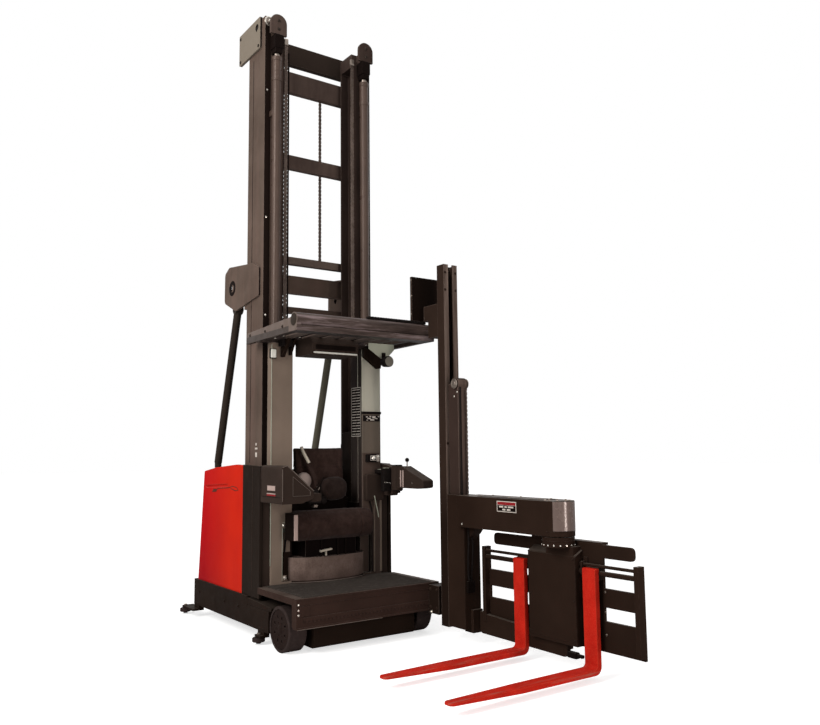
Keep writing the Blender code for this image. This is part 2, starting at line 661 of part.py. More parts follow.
def make_mast_outer():
    solids = []
    tie_back = RAIL_OUT_BACK - TIE_T
    bracket_top = RAIL_TOP + 0.019
    ear_in, ear_out = RAIL_OUT_Y - EAR_INSET, RAIL_OUT_Y - EAR_INSET + 0.022
    for s in (-1.0, 1.0):
        solids.append(channel(s, RAIL_OUT_Y, RAIL_OUT_LIP_Y, RAIL_OUT_BACK, MAST_FRONT, RAIL_OUT_WEB,
                              FRAME_TOP + SEAT_GAP, RAIL_TOP))
        # head bracket plate
        head = [(BRACKET_BACK, bracket_top - BRACKET_H), (BRACKET_FRONT, bracket_top - BRACKET_H),
                (BRACKET_FRONT, bracket_top), (BRACKET_BACK, bracket_top)]
        solids.append(prism("y", rounded(head, 0.012, 2), s * ear_in, s * (RAIL_OUT_Y + 0.020)))
        # stay ear, round the stay's top
        x, z = STRUT_TOP_X, STRUT_TOP_Z
        ear = [(x - 0.190, z + 0.060), (x + 0.065, z - 0.050), (MAST_FRONT - 0.050, z + 0.020),
               (MAST_FRONT - 0.050, z + 0.270), (MAST_FRONT - 0.170, z + 0.330), (x - 0.085, z + 0.390),
               (x - 0.185, z + 0.340)]
        solids.append(prism("y", rounded(ear, [0.05, 0.03, 0.02, 0.02, 0.02, 0.06, 0.04]),
                            s * ear_in, s * ear_out))
    ties = (
        (RAIL_TOP - 0.210, RAIL_TOP - 0.010),
        (STRUT_TOP_Z + 0.130, STRUT_TOP_Z + 0.300),
        (STRUT_TOP_Z - 0.060, STRUT_TOP_Z),
        (FRAME_TOP + SEAT_GAP, 0.620),
    )
    for z0, z1 in ties:
        solids.append(box(tie_back, RAIL_OUT_BACK + 0.006, -RAIL_OUT_Y + 0.001, RAIL_OUT_Y - 0.001, z0, z1))
    cuts = []
    ring = [2.0 * math.pi * k / 16 for k in range(16)]
    for s in (-1.0, 1.0):
        hole = [(STRUT_TOP_X - 0.040 + 0.030 * math.cos(a), STRUT_TOP_Z + 0.185 + 0.045 * math.sin(a))
                for a in ring]
        cuts.append(prism("y", hole, s * (ear_in - 0.05), s * (ear_out + 0.05)))
        slot = [(MAST_FRONT - 0.145 + 0.012 * math.cos(a), bracket_top - 0.090 + 0.030 * math.sin(a))
                for a in ring]
        cuts.append(prism("y", slot, s * (RAIL_OUT_Y + 0.001), s * (RAIL_OUT_Y + 0.05)))
    node("mast_outer", "paint_dark", solids, cuts)


def make_stays():
    """Sloping stays from the mast's ears down to the posts on the tractor frame."""
    def one(side, s):
        y = s * STAY_Y
        top = (STRUT_TOP_X, y, STRUT_TOP_Z - 0.020)
        foot = STRUT_FOOT_Z + STRUT_R + 0.010
        solids = [bar(top, (STRUT_FOOT_X, y, foot), STRUT_R, 16)]
        solids.append(rod("z", STRUT_FOOT_X, y, STRUT_R - 0.004, STRUT_FOOT_Z + SEAT_GAP, foot + 0.012, 16))
        solids.append(rod("y", top[0], top[2], STRUT_R + 0.010, s * (STAY_Y - STRUT_R),
                          s * (STAY_Y + STRUT_R), 20))
        node("mast_stay_" + side, "paint_dark", solids)
    both_sides(one)


def make_cylinders():
    rod_foot = CYL_TOP - MAST_STROKE - 0.15

    def one(side, s):
        y = s * CYL_Y
        bore = ROD_R + 0.002
        front = MAST_FRONT + SEAT_GAP
        clamp = s * (RAIL_OUT_LIP_Y + 0.006), s * (RAIL_OUT_LIP_Y + 0.040)
        solids = [rod("z", CYL_X, y, CYL_R, 0.420, CYL_TOP, 20)]
        for top in (CYL_TOP + 0.002, CYL_TOP - 0.190):
            solids.append(rod("z", CYL_X, y, CYL_R + 0.004, top - 0.035, top, 20))
        solids.append(box(front, CYL_X + 0.030, s * (CYL_Y - 0.030), s * RAIL_OUT_Y, FRAME_TOP + SEAT_GAP,
                          0.43))
        for z in (2.30, 4.55):
            solids.append(box(front, CYL_X, clamp[0], clamp[1], z, z + 0.05))
        cuts = [rod("z", CYL_X, y, bore, 0.460, CYL_TOP + 0.1, 16)]
        node("lift_cylinder_" + side, "paint_dark", solids, cuts)
        node("lift_rod_" + side, "steel", [rod("z", CYL_X, y, ROD_R, rod_foot, CAP_BOTTOM - SEAT_GAP, 16)])
    both_sides(one)


def make_mast_inner():
    solids = []
    for s in (-1.0, 1.0):
        solids.append(channel(s, RAIL_IN_Y, RAIL_IN_LIP_Y, RAIL_IN_BACK, RAIL_IN_FRONT, RAIL_IN_T,
                              MAST_IN_FOOT, RAIL_IN_TOP))
        # guide shoes that run inside the outer rail
        shoe_y = RAIL_OUT_Y - RAIL_OUT_WEB - GLIDE
        for z in (MAST_IN_FOOT + 0.10, 2.60):
            solids.append(box(RAIL_IN_BACK + 0.004, RAIL_IN_FRONT - 0.012, s * (RAIL_IN_Y - 0.004),
                              s * shoe_y,
                              z, z + 0.22))
            solids.append(box(RAIL_OUT_BACK + RAIL_OUT_WEB + GLIDE, RAIL_IN_BACK + 0.010,
                              s * (RAIL_OUT_LIP_Y + RUN), s * (shoe_y - RUN), z + 0.05, z + 0.17))
        # crosshead over the lift rod, with a round-topped face plate
        mid = s * CYL_Y
        solids.append(box(RAIL_IN_FRONT - 0.05, CYL_X + 0.020, s * (CYL_Y - CYL_R),
                          s * (RAIL_OUT_LIP_Y - RUN),
                          CAP_BOTTOM, CAP_TOP - 0.10))
        solids.append(box(RAIL_IN_BACK, RAIL_IN_FRONT - 0.002, s * RAIL_IN_LIP_Y, s * RAIL_IN_Y,
                          RAIL_IN_TOP - 0.03, CAP_TOP - 0.10))
        half = CAP_W / 2.0
        cap = [(mid - half, CAP_BOTTOM), (mid + half, CAP_BOTTOM)]
        for k in range(13):
            a = math.pi * k / 12
            cap.append((mid + half * math.cos(a), CAP_TOP - half + half * math.sin(a)))
        solids.append(prism("x", cap, CYL_X + 0.014, CYL_X + 0.038))
    ties = (
        (RAIL_IN_TOP - 0.350, RAIL_IN_TOP - 0.150),
        (RAIL_IN_TOP - 1.100, RAIL_IN_TOP - 0.970),
        (RAIL_IN_TOP - 2.020, RAIL_IN_TOP - 1.950),
        (MAST_IN_FOOT + 0.300, MAST_IN_FOOT + 0.500),
    )
    for z0, z1 in ties:
        solids.append(box(RAIL_IN_BACK - TIE_T, RAIL_IN_BACK + 0.002, -RAIL_IN_Y + 0.001, RAIL_IN_Y - 0.001,
                          z0, z1))
    node("mast_inner", "paint_dark", solids)


# operator platform
def make_platform():
    w = HALF_WIDTH
    z0 = FLOOR_TOP - FLOOR_T
    notch = COLUMN_FRONT + 0.018
    narrow = COVER_OUT - COVER_T - RUN
    outline = [
        (COLUMN_BACK, -narrow), (notch, -narrow), (notch, -w), (FLOOR_FRONT, -w), (FLOOR_FRONT, w), (notch,
                                                                                                     w),
        (notch, narrow), (COLUMN_BACK, narrow), (COLUMN_BACK, RECESS_HALF), (RECESS_BACK, RECESS_HALF),
        (RECESS_BACK, -RECESS_HALF), (COLUMN_BACK, -RECESS_HALF),
    ]
    solids = [prism("z", outline, z0, FLOOR_TOP)]
    beam = [
        (FLOOR_FRONT - BEAM_DEPTH, BEAM_BOTTOM + 0.020), (FLOOR_FRONT - BEAM_DEPTH + 0.020, BEAM_BOTTOM),
        (FLOOR_FRONT, BEAM_BOTTOM), (FLOOR_FRONT, z0 + 0.01), (FLOOR_FRONT - BEAM_DEPTH, z0 + 0.01),
    ]
    solids.append(prism("y", beam, -w, w))
    node("platform_floor", "paint_dark", solids)
    front = FLOOR_FRONT - 0.020
    side = w - 0.072
    back = COLUMN_FRONT + 0.020
    mat = [
        (front, -side), (front, side), (back, side), (back, SEAT_HALF), (SEAT_FRONT - 0.045, 0.300),
        (SEAT_FRONT - 0.045, -0.300), (back, -SEAT_HALF), (back, -side),
    ]
    node("floor_mat", "paint_black", [prism("z", mat, FLOOR_TOP + SEAT_GAP, FLOOR_TOP + 0.006)])
    # toothed rack on the front beam, which the handler's pinion climbs along
    teeth = 36
    y = w - 0.060
    pitch = 2.0 * y / teeth
    outline = [(-y, RACK_TOP), (y, RACK_TOP)]
    for k in range(teeth):
        right = y - k * pitch
        outline.append((right, RACK_BOTTOM))
        outline.append((right - 0.35 * pitch, RACK_BOTTOM))
        outline.append((right - 0.50 * pitch, RACK_BOTTOM + TOOTH_H))
        outline.append((right - 0.85 * pitch, RACK_BOTTOM + TOOTH_H))
    outline.append((-y, RACK_BOTTOM))
    node("platform_rack", "paint_black", [prism("x", outline, FLOOR_FRONT + SEAT_GAP,
                                                FLOOR_FRONT + RACK_OUT)])


def make_cabin():
    z = FLOOR_TOP + SEAT_GAP
    wall_front = RECESS_BACK + 0.020
    # rear wall of the operator's recess, its sides and the backrest's spine
    wall = [box(RECESS_BACK, wall_front, -RECESS_HALF, RECESS_HALF, z, 1.120)]
    wall.append(box(RECESS_BACK, wall_front, -0.10, 0.10, 1.100, 1.540))
    for s in (-1.0, 1.0):
        wall.append(box(RECESS_BACK, COLUMN_BACK + 0.020, s * (RECESS_HALF - WALL_T), s * RECESS_HALF, z,
                        1.080))
    node("recess_wall", "paint_black", wall)

    def carriage(side, s):
        y1 = RAIL_IN_Y - RAIL_IN_T - GLIDE
        x0, x1 = RAIL_IN_BACK + RAIL_IN_T + GLIDE, RAIL_IN_FRONT - RAIL_IN_T - GLIDE
        plate = [(x0 + 0.008, 0.540), (x0 + 0.040, 0.500), (RAIL_IN_FRONT + 0.004, 0.500),
                 (RAIL_IN_FRONT + 0.004, 1.720), (x0 + 0.060, 1.720), (x0 + 0.008, 1.600)]
        solids = [prism("y", plate, s * COLUMN_IN_Y, s * FLANGE_Y)]
        for z in (0.560, 1.380):
            solids.append(box(x0, x1, s * (FLANGE_Y - 0.004), s * y1, z, z + 0.220))
        node("mast_carriage_" + side, "paint_dark", solids)
    both_sides(carriage)

    def column(side, s):
        top = GUARD_BOTTOM - SEAT_GAP
        inner = COLUMN_IN_Y + 0.006
        outline = [(COLUMN_BACK, s * inner), (COLUMN_FRONT, s * inner),
                   (COLUMN_FRONT, s * COLUMN_OUT_Y), (COLUMN_BACK, s * COLUMN_OUT_Y)]
        solids = [prism("z", rounded(outline, [0, 0.008, 0.012, 0], 2), z, top)]
        solids.append(box(RAIL_IN_FRONT + 0.004 + SEAT_GAP, COLUMN_BACK + 0.005, s * COLUMN_IN_Y,
                          s * FLANGE_Y,
                          z + FLOOR_T * 0.2, top))
        cuts = [box(COLUMN_BACK + 0.030, COLUMN_FRONT + 0.1, s * (inner - 0.05), s * (inner + 0.090),
                    z + 0.020, OPENING_TOP)]
        node("platform_column_" + side, "grey_panel" if s > 0 else "paint_black", solids, cuts)
        # corner panel outboard of the column, inside the mast's shroud
        panel_out = COVER_OUT - COVER_T - RUN - 0.002
        node("corner_panel_" + side, "paint_black",
             [box(COLUMN_BACK, COLUMN_FRONT - 0.004, s * (COLUMN_OUT_Y + SEAT_GAP), s * panel_out, z,
                  CONSOLE_Z)])
    both_sides(column)

    # drum-shaped cabinet below the seat, on a toe-kick and under a pedestal
    back = wall_front + SEAT_GAP
    half = RECESS_HALF - WALL_T - SEAT_GAP
    bulge = COLUMN_BACK + 0.035
    depth, wide = 0.145, COLUMN_IN_Y + 0.026

    def drum(shrink, z0, z1):
        arc = [(back, half), (back, -half), (bulge, -half)]
        for k in range(17):
            a = -math.pi / 2.0 + math.pi * k / 16
            arc.append((bulge + (depth - shrink) * math.cos(a), (wide - shrink) * math.sin(a)))
        arc.append((bulge, half))
        return prism("z", arc, z0, z1)

    solids = [drum(0.030, z, 0.470), drum(0.0, 0.462, 0.651)]
    solids.append(box(back, bulge + 0.085, -0.25, 0.25, 0.645, SEAT_BOTTOM - SEAT_GAP))
    node("seat_base", "paint_black", solids)


def make_seat():
    x0 = RECESS_BACK + 0.020 + SEAT_GAP
    z0, z1 = SEAT_BOTTOM, SEAT_TOP
    roll_back = COLUMN_FRONT + 0.008
    outline = [(roll_back, z0), (SEAT_FRONT - 0.040, z0), (SEAT_FRONT, z0 + 0.120), (SEAT_FRONT - 0.040,
                                                                                     z1 - 0.010),
               (roll_back, z1)]
    half = RECESS_HALF - WALL_T - SEAT_GAP
    roll = prism("y", rounded(outline, [0.0, 0.06, 0.08, 0.07, 0.0]), -SEAT_HALF, SEAT_HALF)
    rear = box(x0, roll_back + 0.01, -half, half, z0, z1 - 0.010)
    node("seat_cushion", "fabric", [roll, rear])
    back = [(x0, 1.122), (x0 + 0.100, 1.117), (x0 + 0.070, BACK_TOP), (x0, BACK_TOP)]
    node("seat_back", "fabric", [prism("y", rounded(back, [0.0, 0.03, 0.03, 0.02]), -0.253, 0.253)])


def make_consoles():
    z = CONSOLE_Z + SEAT_GAP
    inner = COLUMN_OUT_Y + SEAT_GAP
    panel_out = COVER_OUT - COVER_T - RUN - 0.002
    front = COLUMN_FRONT + 0.005
    skin = COLUMN_FRONT + 0.030
    # right console: its section slopes inward and it runs forward from the column
    section = [
        (-CONSOLE_OUT, z), (-CONSOLE_OUT, CONSOLE_TOP - 0.010), (-CONSOLE_OUT + 0.050, CONSOLE_TOP),
        (-COLUMN_IN_Y - 0.031, z + 0.105), (-COLUMN_IN_Y - 0.031, z + 0.035), (-COLUMN_OUT_Y + 0.080, z),
    ]
    solids = [prism("x", rounded(section, [0.01, 0.03, 0.04, 0.02, 0.02, 0.02]), skin, 0.0)]
    rear = [(COLUMN_BACK + 0.005, z), (skin + 0.05, z), (skin + 0.05, CONSOLE_TOP - 0.012),
            (COLUMN_BACK + 0.005, CONSOLE_TOP - 0.008)]
    solids.append(prism("y", rounded(rear, [0, 0, 0, 0.02]), -inner, -panel_out))
    neck = [(-0.62, z + 0.02), (-0.62, CONSOLE_TOP - 0.040), (-COLUMN_IN_Y - 0.080, z + 0.110),
            (-COLUMN_IN_Y - 0.080, z + 0.040)]
    solids.append(prism("x", neck, front, skin + 0.05))
    node("console_right", "paint_black", solids)
    # left console with its upright grip
    outline = [(COLUMN_BACK + 0.005, z + 0.010), (-0.244, z + 0.010), (-0.244, 1.394), (-0.330, 1.414),
               (COLUMN_BACK + 0.005, 1.430)]
    solids = [prism("y", rounded(outline, [0.0, 0.02, 0.02, 0.0, 0.02], 3), inner, panel_out)]
    solids.append(box(skin, -0.260, inner, CONSOLE_OUT, z + 0.030, 1.380))
    solids.append(box(COLUMN_BACK + 0.010, COLUMN_BACK + 0.060, inner, panel_out - 0.004, z, z + 0.020))
    solids.append(rod("z", -0.235, 0.610, 0.050, 1.190, 1.404, 24))
    solids.append(box(-0.235, -0.170, 0.595, 0.635, 1.230, 1.330))
    node("console_left", "paint_black", solids)
    # rest for the forearm in front of the left console
    x0 = -0.170 + SEAT_GAP
    rest = [(0.228, 1.223), (0.228, 1.285), (x0 + 0.070, 1.405), (x0, 1.400), (x0, 1.213), (0.150, 1.213)]
    node("wrist_rest", "paint_black", [prism("y", rounded(rest, [0.02, 0.02, 0.04, 0.01, 0.0, 0.02]),
                                             0.560, 0.665)])


def make_guard():
    w = HALF_WIDTH
    tube_x, tube_z = GUARD_TUBE_X, GUARD_TUBE_Z
    z0, z1 = GUARD_BOTTOM, GUARD_TOP
    solids = []
    plate = [
        (GUARD_BACK, z0 + 0.004), (tube_x + 0.025, z0 + 0.013), (tube_x + 0.053, z0 + 0.040),
        (tube_x + 0.053, z1), (tube_x + 0.030, z1 + 0.020), (tube_x - 0.045, z1 + 0.017),
        (GUARD_BACK + 0.030, z1 - 0.016),
    ]
    for s in (-1.0, 1.0):
        solids.append(prism("y", plate, s * (w - PLATE_T), s * w))
    solids.append(rod("y", tube_x, tube_z, GUARD_TUBE_R, -w + 0.002, w - 0.002, 28))
    solids.append(box(tube_x - 0.085, tube_x + 0.047, -w + 0.001, w - 0.001, z0 + 0.011, z0 + 0.056))
    solids.append(box(COLUMN_BACK, COLUMN_FRONT, -w + 0.01, w - 0.01, z0, z1 - 0.010))
    slats = 8
    inner = w - 0.030
    for k in range(slats):
        y = -inner + (k + 0.5) * 2.0 * inner / slats
        solids.append(box(COLUMN_BACK + 0.02, tube_x, y - 0.019, y + 0.019, z0 + 0.030, z1 - 0.020))
    node("overhead_guard", "paint_dark", solids)
    # energy chain that lies on the front tube and feeds the handler
    base = tube_z + GUARD_TUBE_R + SEAT_GAP
    y0, y1 = 0.016, COL_Y0 + 0.010
    links = 22
    pitch = (y1 - y0) / links
    outline = [(y0, base), (y1, base)]
    for k in range(links):
        right = y1 - k * pitch
        outline.append((right, base + CHAIN_H))
        outline.append((right - 0.62 * pitch, base + CHAIN_H))
        outline.append((right - 0.70 * pitch, base + 0.55 * CHAIN_H))
        outline.append((right - 0.92 * pitch, base + 0.55 * CHAIN_H))
    outline.append((y0, base + CHAIN_H))
    node("cable_chain", "paint_black", [prism("x", outline, tube_x - 0.022, tube_x + 0.022)])
    # header console under the roof
    seat = z0 + 0.030 - SEAT_GAP
    back = COLUMN_FRONT + 0.006
    header = [(back, seat), (-0.140, seat), (-0.100, 2.455), (-0.110, 2.375), (-0.140, 2.360), (back, 2.360)]
    node("header_console", "paint_black", [prism("y", rounded(header, [0, 0, 0.01, 0.02, 0.01, 0.01]),
                                                 -0.330, 0.120)])


# load handler
def make_handler():
    t = COL_T
    outline = [
        (COL_X0, COL_Y0), (COL_X1, COL_Y0), (COL_X1, COL_MID - SLOT_HALF), (COL_X1 - t, COL_MID - SLOT_HALF),
        (COL_X1 - t, COL_Y0 + t), (COL_X0 + t, COL_Y0 + t), (COL_X0 + t, COL_Y1 - t),
        (COL_X1 - t, COL_Y1 - t), (COL_X1 - t, COL_MID + SLOT_HALF), (COL_X1, COL_MID + SLOT_HALF),
        (COL_X1, COL_Y1), (COL_X0, COL_Y1),
    ]
    solids = [prism("z", outline, COL_BOTTOM, COL_TOP)]
    # lower traverse carriage behind the column
    low = FLOOR_FRONT + RACK_OUT + GLIDE
    solids.append(box(low, COL_X0 + 0.004, COL_Y0 - 0.030, COL_Y1 + 0.005, 0.200, 0.430))
    # upper traverse carriage: a shoe in front of the guard's tube and a plate above its cable chain
    shoe = GUARD_TUBE_X + GUARD_TUBE_R + GLIDE
    up = GUARD_TUBE_Z + GUARD_TUBE_R + SEAT_GAP + CHAIN_H + RUN
    solids.append(box(shoe, COL_X0 + 0.004, COL_Y0 + 0.010, COL_Y1 - 0.015, GUARD_BOTTOM + 0.035,
                      up + 0.130))
    solids.append(box(GUARD_TUBE_X - 0.025, shoe + 0.01, COL_Y0 + 0.010, COL_Y1 - 0.015, up, up + 0.130))
    solids.append(box(GUARD_TUBE_X - 0.025, GUARD_TUBE_X, COL_Y0 - 0.120, COL_Y1 + 0.030, up,
                      COL_TOP - 0.070))
    node("handler_column", "paint_dark", solids)


def make_aux_mast():
    mid = COL_MID
    t = COL_T + GLIDE
    tongue = 0.5 * (COL_Y1 - COL_Y0) - t
    neck = SLOT_HALF - RUN
    head = AUX_HALF
    x = COL_X1 + 0.010
    outline = [
        (COL_X0 + t, mid - tongue), (COL_X1 - t, mid - tongue), (COL_X1 - t, mid - neck),
        (x, mid - neck), (x, mid - head), (AUX_FRONT, mid - head),
        (AUX_FRONT, mid + head), (x, mid + head), (x, mid + neck),
        (COL_X1 - t, mid + neck), (COL_X1 - t, mid + tongue), (COL_X0 + t, mid + tongue),
    ]
    solids = [prism("z", outline, AUX_FOOT, AUX_TOP - 0.060)]
    cx, cz = AUX_FRONT - 0.040, AUX_TOP - 0.010
    solids.append(rod("y", cx, cz, 0.050, mid - head, mid + head, 24))
    solids.append(box(COL_X1 + 0.012, AUX_FRONT - 0.002, mid - head, mid + head, AUX_TOP - 0.10, cz))
    eye = [rod("y", cx, cz, 0.022, mid - head - 0.01, mid - head + 0.006, 16)]
    node("aux_mast_inner", "paint_dark", solids, eye)


def make_arm():
    mid = COL_MID
    inner = AUX_HALF + 0.012
    z0, z1 = 0.130, ARM_TOP
    x0, x1 = COL_X1 + 0.016, ARM_ROOT + 0.050
    solids = []
    for s in (-1.0, 1.0):
        solids.append(box(x0, x1, mid + s * inner, mid + s * (inner + CHEEK_T), z0, z1))
        for z in (0.300, 1.000):
            solids.append(box(x0 + 0.010, AUX_FRONT, mid + s * (AUX_HALF + GLIDE), mid + s * (inner + 0.004),
                              z, z + 0.12))
    solids.append(box(ARM_ROOT, x1, mid - inner - 0.010, mid + inner + 0.010, z0, z1))
    # foot bracket, gusset and the arm itself
    solids.append(box(ARM_ROOT - 0.030, x1 + 0.025, mid - 0.022, mid + inner + CHEEK_T - 0.004, 0.102,
                      0.280))
    plan = [(ARM_ROOT + 0.01, PIVOT_Y - ARM_HALF), (PIVOT_X, PIVOT_Y - ARM_HALF)]
    for k in range(1, 20):
        a = -math.pi / 2.0 + math.pi * k / 20
        plan.append((PIVOT_X + ARM_HALF * math.cos(a), PIVOT_Y + ARM_HALF * math.sin(a)))
    plan.append((PIVOT_X, PIVOT_Y + ARM_HALF))
    plan.append((ARM_ROOT + 0.01, PIVOT_Y + ARM_HALF))
    solids.append(prism("z", plan, ARM_BOTTOM, ARM_TOP))
    gusset = [(x1 - 0.01, ARM_BOTTOM - 0.105), (x1, ARM_BOTTOM - 0.105), (x1 + 0.060, ARM_BOTTOM - 0.055),
              (x1 + 0.120, ARM_BOTTOM + 0.01), (x1 - 0.01, ARM_BOTTOM + 0.01)]
    solids.append(prism("y", gusset, mid - 0.045, mid + 0.045))
    cuts = [rod("z", PIVOT_X, PIVOT_Y, PIVOT_R + PIN_PLAY, ARM_BOTTOM - 0.1, ARM_TOP - 0.060, 24)]
    node("reach_arm", "paint_dark", solids, cuts)


def make_fork_carriage():
    here = (PIVOT_X, PIVOT_Y, ARM_BOTTOM)
    y0, y1 = FC_PLATE_Y0, FC_PLATE_Y0 + FC_PLATE_T
    left, right = FC_X0 + 0.095, FC_X1 - 0.065
    # backrest plate, wings and windows in one outline
    plate = [
        (FC_X0 + 0.002, FC_BOTTOM), (FC_X1 - 0.002, FC_BOTTOM), (FC_X1 - 0.002, FC_SHOULDER),
        (INNER_FRONT, FC_SHOULDER), (INNER_FRONT, FC_BAR_BOTTOM), (right, FC_BAR_BOTTOM), (right,
                                                                                           FC_BAR_TOP),
        (left, FC_BAR_TOP), (left, FC_BAR_BOTTOM), (INNER_BACK, FC_BAR_BOTTOM), (INNER_BACK, FC_SHOULDER),
        (FC_X0 + 0.002, FC_SHOULDER),
    ]
    radii = [0, 0, 0, 0, 0, 0.030, 0.030, 0.030, 0.030, 0, 0, 0]
    solids = [prism("y", rounded(plate, radii), y0, y1)]
    z0, z1 = WINDOW_Z
    windows = [box(FC_X0 + POST_W + 0.005, INNER_BACK, y0 - 0.1, y1 + 0.1, z0, z1),
               box(INNER_FRONT, FC_X1 - POST_W - 0.005, y0 - 0.1, y1 + 0.1, z0, z1)]
    for x in (FC_X0, FC_X1 - POST_W):
        solids.append(box(x, x + POST_W, ROD_Y - 0.022, y1 - 0.002, FC_BOTTOM + 0.018,
                          FC_BAR_BOTTOM - 0.021))
    for z, r in ((ROD_HI_Z, ROD_HI_R), (ROD_LO_Z, ROD_LO_R)):
        solids.append(rod("x", ROD_Y, z, r, FC_X0 + 0.01, FC_X1 - 0.01, 16))
    # swing head: top flange, housing, neck, slewing collar and kingpin
    solids.append(box(PIVOT_X - 0.350, PIVOT_X + 0.330, y0 + 0.001, y0 + 0.066, FC_BAR_TOP - 0.004,
                      FC_BAR_TOP + 0.012))
    house = [(PIVOT_Y - 0.004, FC_BOTTOM + 0.008), (y0 + 0.004, FC_BOTTOM + 0.008), (y0 + 0.004,
                                                                                     FC_BAR_BOTTOM + 0.038),
             (PIVOT_Y - 0.004, FC_BAR_BOTTOM + 0.002)]
    solids.append(prism("x", house, PIVOT_X - 0.310, PIVOT_X + 0.155))
    solids.append(box(PIVOT_X - 0.120, PIVOT_X + 0.140, PIVOT_Y - 0.006, y0 + 0.045, FC_BAR_BOTTOM - 0.01,
                      COLLAR_Z))
    solids.append(rod("z", PIVOT_X, PIVOT_Y, COLLAR_R, COLLAR_Z - 0.006, ARM_BOTTOM - RUN, 36))
    solids.append(rod("z", PIVOT_X, PIVOT_Y, PIVOT_R, COLLAR_Z, ARM_TOP - 0.060 - RUN, 24))
    # lower beam below the plate, tapered towards the truck
    beam = [(FC_X0 - 0.045, 0.105), (PIVOT_X + 0.020, 0.095), (PIVOT_X + 0.020, FC_BOTTOM + 0.012),
            (PIVOT_X - 0.310, FC_BOTTOM + 0.045), (FC_X0 + 0.05, 0.255), (FC_X0 - 0.045, 0.275)]
    solids.append(prism("y", rounded(beam, [0.03, 0.03, 0, 0, 0, 0.01]), y0 - 0.041, y0 - 0.006))
    solids.append(box(PIVOT_X - 0.310, PIVOT_X + 0.020, y0 - 0.041, y1, FC_BOTTOM - 0.040,
                      FC_BOTTOM + 0.012))
    node("fork_carriage", "paint_dark", solids, windows, origin=here)


def make_forks():
    here = (PIVOT_X, PIVOT_Y, ARM_BOTTOM)
    y_face = FORK_FACE_Y
    y_back = y_face + FORK_T
    tip = y_back - FORK_LENGTH
    top = FORK_TOP
    side = [
        (y_back, top), (y_face, top), (y_face, FORK_BOTTOM + FORK_T), (tip + 0.02, FORK_BOTTOM + FORK_T),
        (tip, FORK_BOTTOM + FORK_T - 0.006), (tip, FORK_BOTTOM + FORK_T - 0.014),
        (tip + 0.55, FORK_BOTTOM + 0.004), (y_back, FORK_BOTTOM),
    ]
    radii = [0.004, 0.012, 0.030, 0, 0.003, 0.003, 0.0, 0.055]
    for name, x in zip(("fork_back", "fork_front"), FORK_XS):
        half = FORK_W / 2.0
        blade = prism("x", rounded(side, radii, 5), x - half, x + half)
        # hanger block bored for the lower rod
        hook = box(x - half, x + half, y_back - 0.004, FC_PLATE_Y0 - 0.003, ROD_LO_Z - 0.042, top)
        cuts = [rod("x", ROD_Y, ROD_LO_Z, ROD_LO_R + PIN_PLAY, x - half - 0.1, x + half + 0.1, 16)]
        # the blade narrows towards a rounded tip, seen from above
        plan = [(x + half + 0.01, y_back + 0.1), (x - half - 0.01, y_back + 0.1), (x - half - 0.01,
                                                                                   y_face - 0.30),
                (x - 0.72 * half, tip), (x + 0.72 * half, tip), (x + half + 0.01, y_face - 0.30)]
        limit = prism("z", rounded(plan, [0, 0, 0, 0.035, 0.035, 0], 5), 0.0, 1.0)
        node(name, "fork_red", [blade, hook], cuts, [limit], origin=here)


def centre_on_origin():
    """Move the truck so that its box is centred on the origin and stands on z = 0."""
    lo = Vector((1e9, 1e9, 1e9))
    hi = -lo
    for obj in bpy.data.objects:
        if obj.type != "MESH":
            continue
        for v in obj.data.vertices:
            p = v.co + obj.location
            lo = Vector(map(min, lo, p))
            hi = Vector(map(max, hi, p))
    shift = Vector((-(lo.x + hi.x) / 2.0, -(lo.y + hi.y) / 2.0, -lo.z))
    for obj in bpy.data.objects:
        obj.location = obj.location + shift


def main():
    clear_scene()
    make_chassis()
    make_guide_rollers()
    make_drive_unit()
    make_load_wheels()
    make_battery()
    make_covers()
    make_shrouds()
    make_mast_outer()
    make_stays()
    make_cylinders()
    make_mast_inner()
    make_platform()
    make_cabin()
    make_seat()
    make_consoles()
    make_guard()
    make_handler()
    make_aux_mast()
    make_arm()
    make_fork_carriage()
    make_forks()
    centre_on_origin()


main()
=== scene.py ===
import math

import bmesh
import bpy
from mathutils import Matrix, Vector, noise


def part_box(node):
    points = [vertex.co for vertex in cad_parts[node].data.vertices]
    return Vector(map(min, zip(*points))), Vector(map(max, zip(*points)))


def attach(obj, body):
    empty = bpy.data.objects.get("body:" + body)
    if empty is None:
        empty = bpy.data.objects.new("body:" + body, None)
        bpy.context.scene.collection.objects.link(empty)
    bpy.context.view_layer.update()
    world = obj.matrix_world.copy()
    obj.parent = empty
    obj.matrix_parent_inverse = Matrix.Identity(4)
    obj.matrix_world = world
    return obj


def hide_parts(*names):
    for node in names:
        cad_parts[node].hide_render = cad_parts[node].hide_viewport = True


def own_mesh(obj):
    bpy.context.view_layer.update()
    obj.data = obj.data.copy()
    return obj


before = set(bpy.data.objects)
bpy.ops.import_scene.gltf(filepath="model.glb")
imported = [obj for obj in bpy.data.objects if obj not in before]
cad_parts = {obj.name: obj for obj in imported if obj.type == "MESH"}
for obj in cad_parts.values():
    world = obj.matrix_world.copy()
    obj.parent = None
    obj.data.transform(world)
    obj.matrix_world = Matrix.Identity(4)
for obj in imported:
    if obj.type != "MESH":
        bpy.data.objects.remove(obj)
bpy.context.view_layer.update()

# the truck's own frame has its origin on the load axle; the frame's is under the box's centre
SHIFT_X = -0.179
SHIFT_Y = -0.022
SIDES = (("right", -1.0), ("left", 1.0))

# the photograph: size in pixels, focal length in pixels, and the angles of the view
PHOTO_WIDTH = 820.0
FOCAL = 806.63
VIEW_ANGLES = (144.5877, 6.1655, -0.6217)
VIEW_PLACE = (5.8365, -3.5533, 1.55)
SENSOR = 36.0


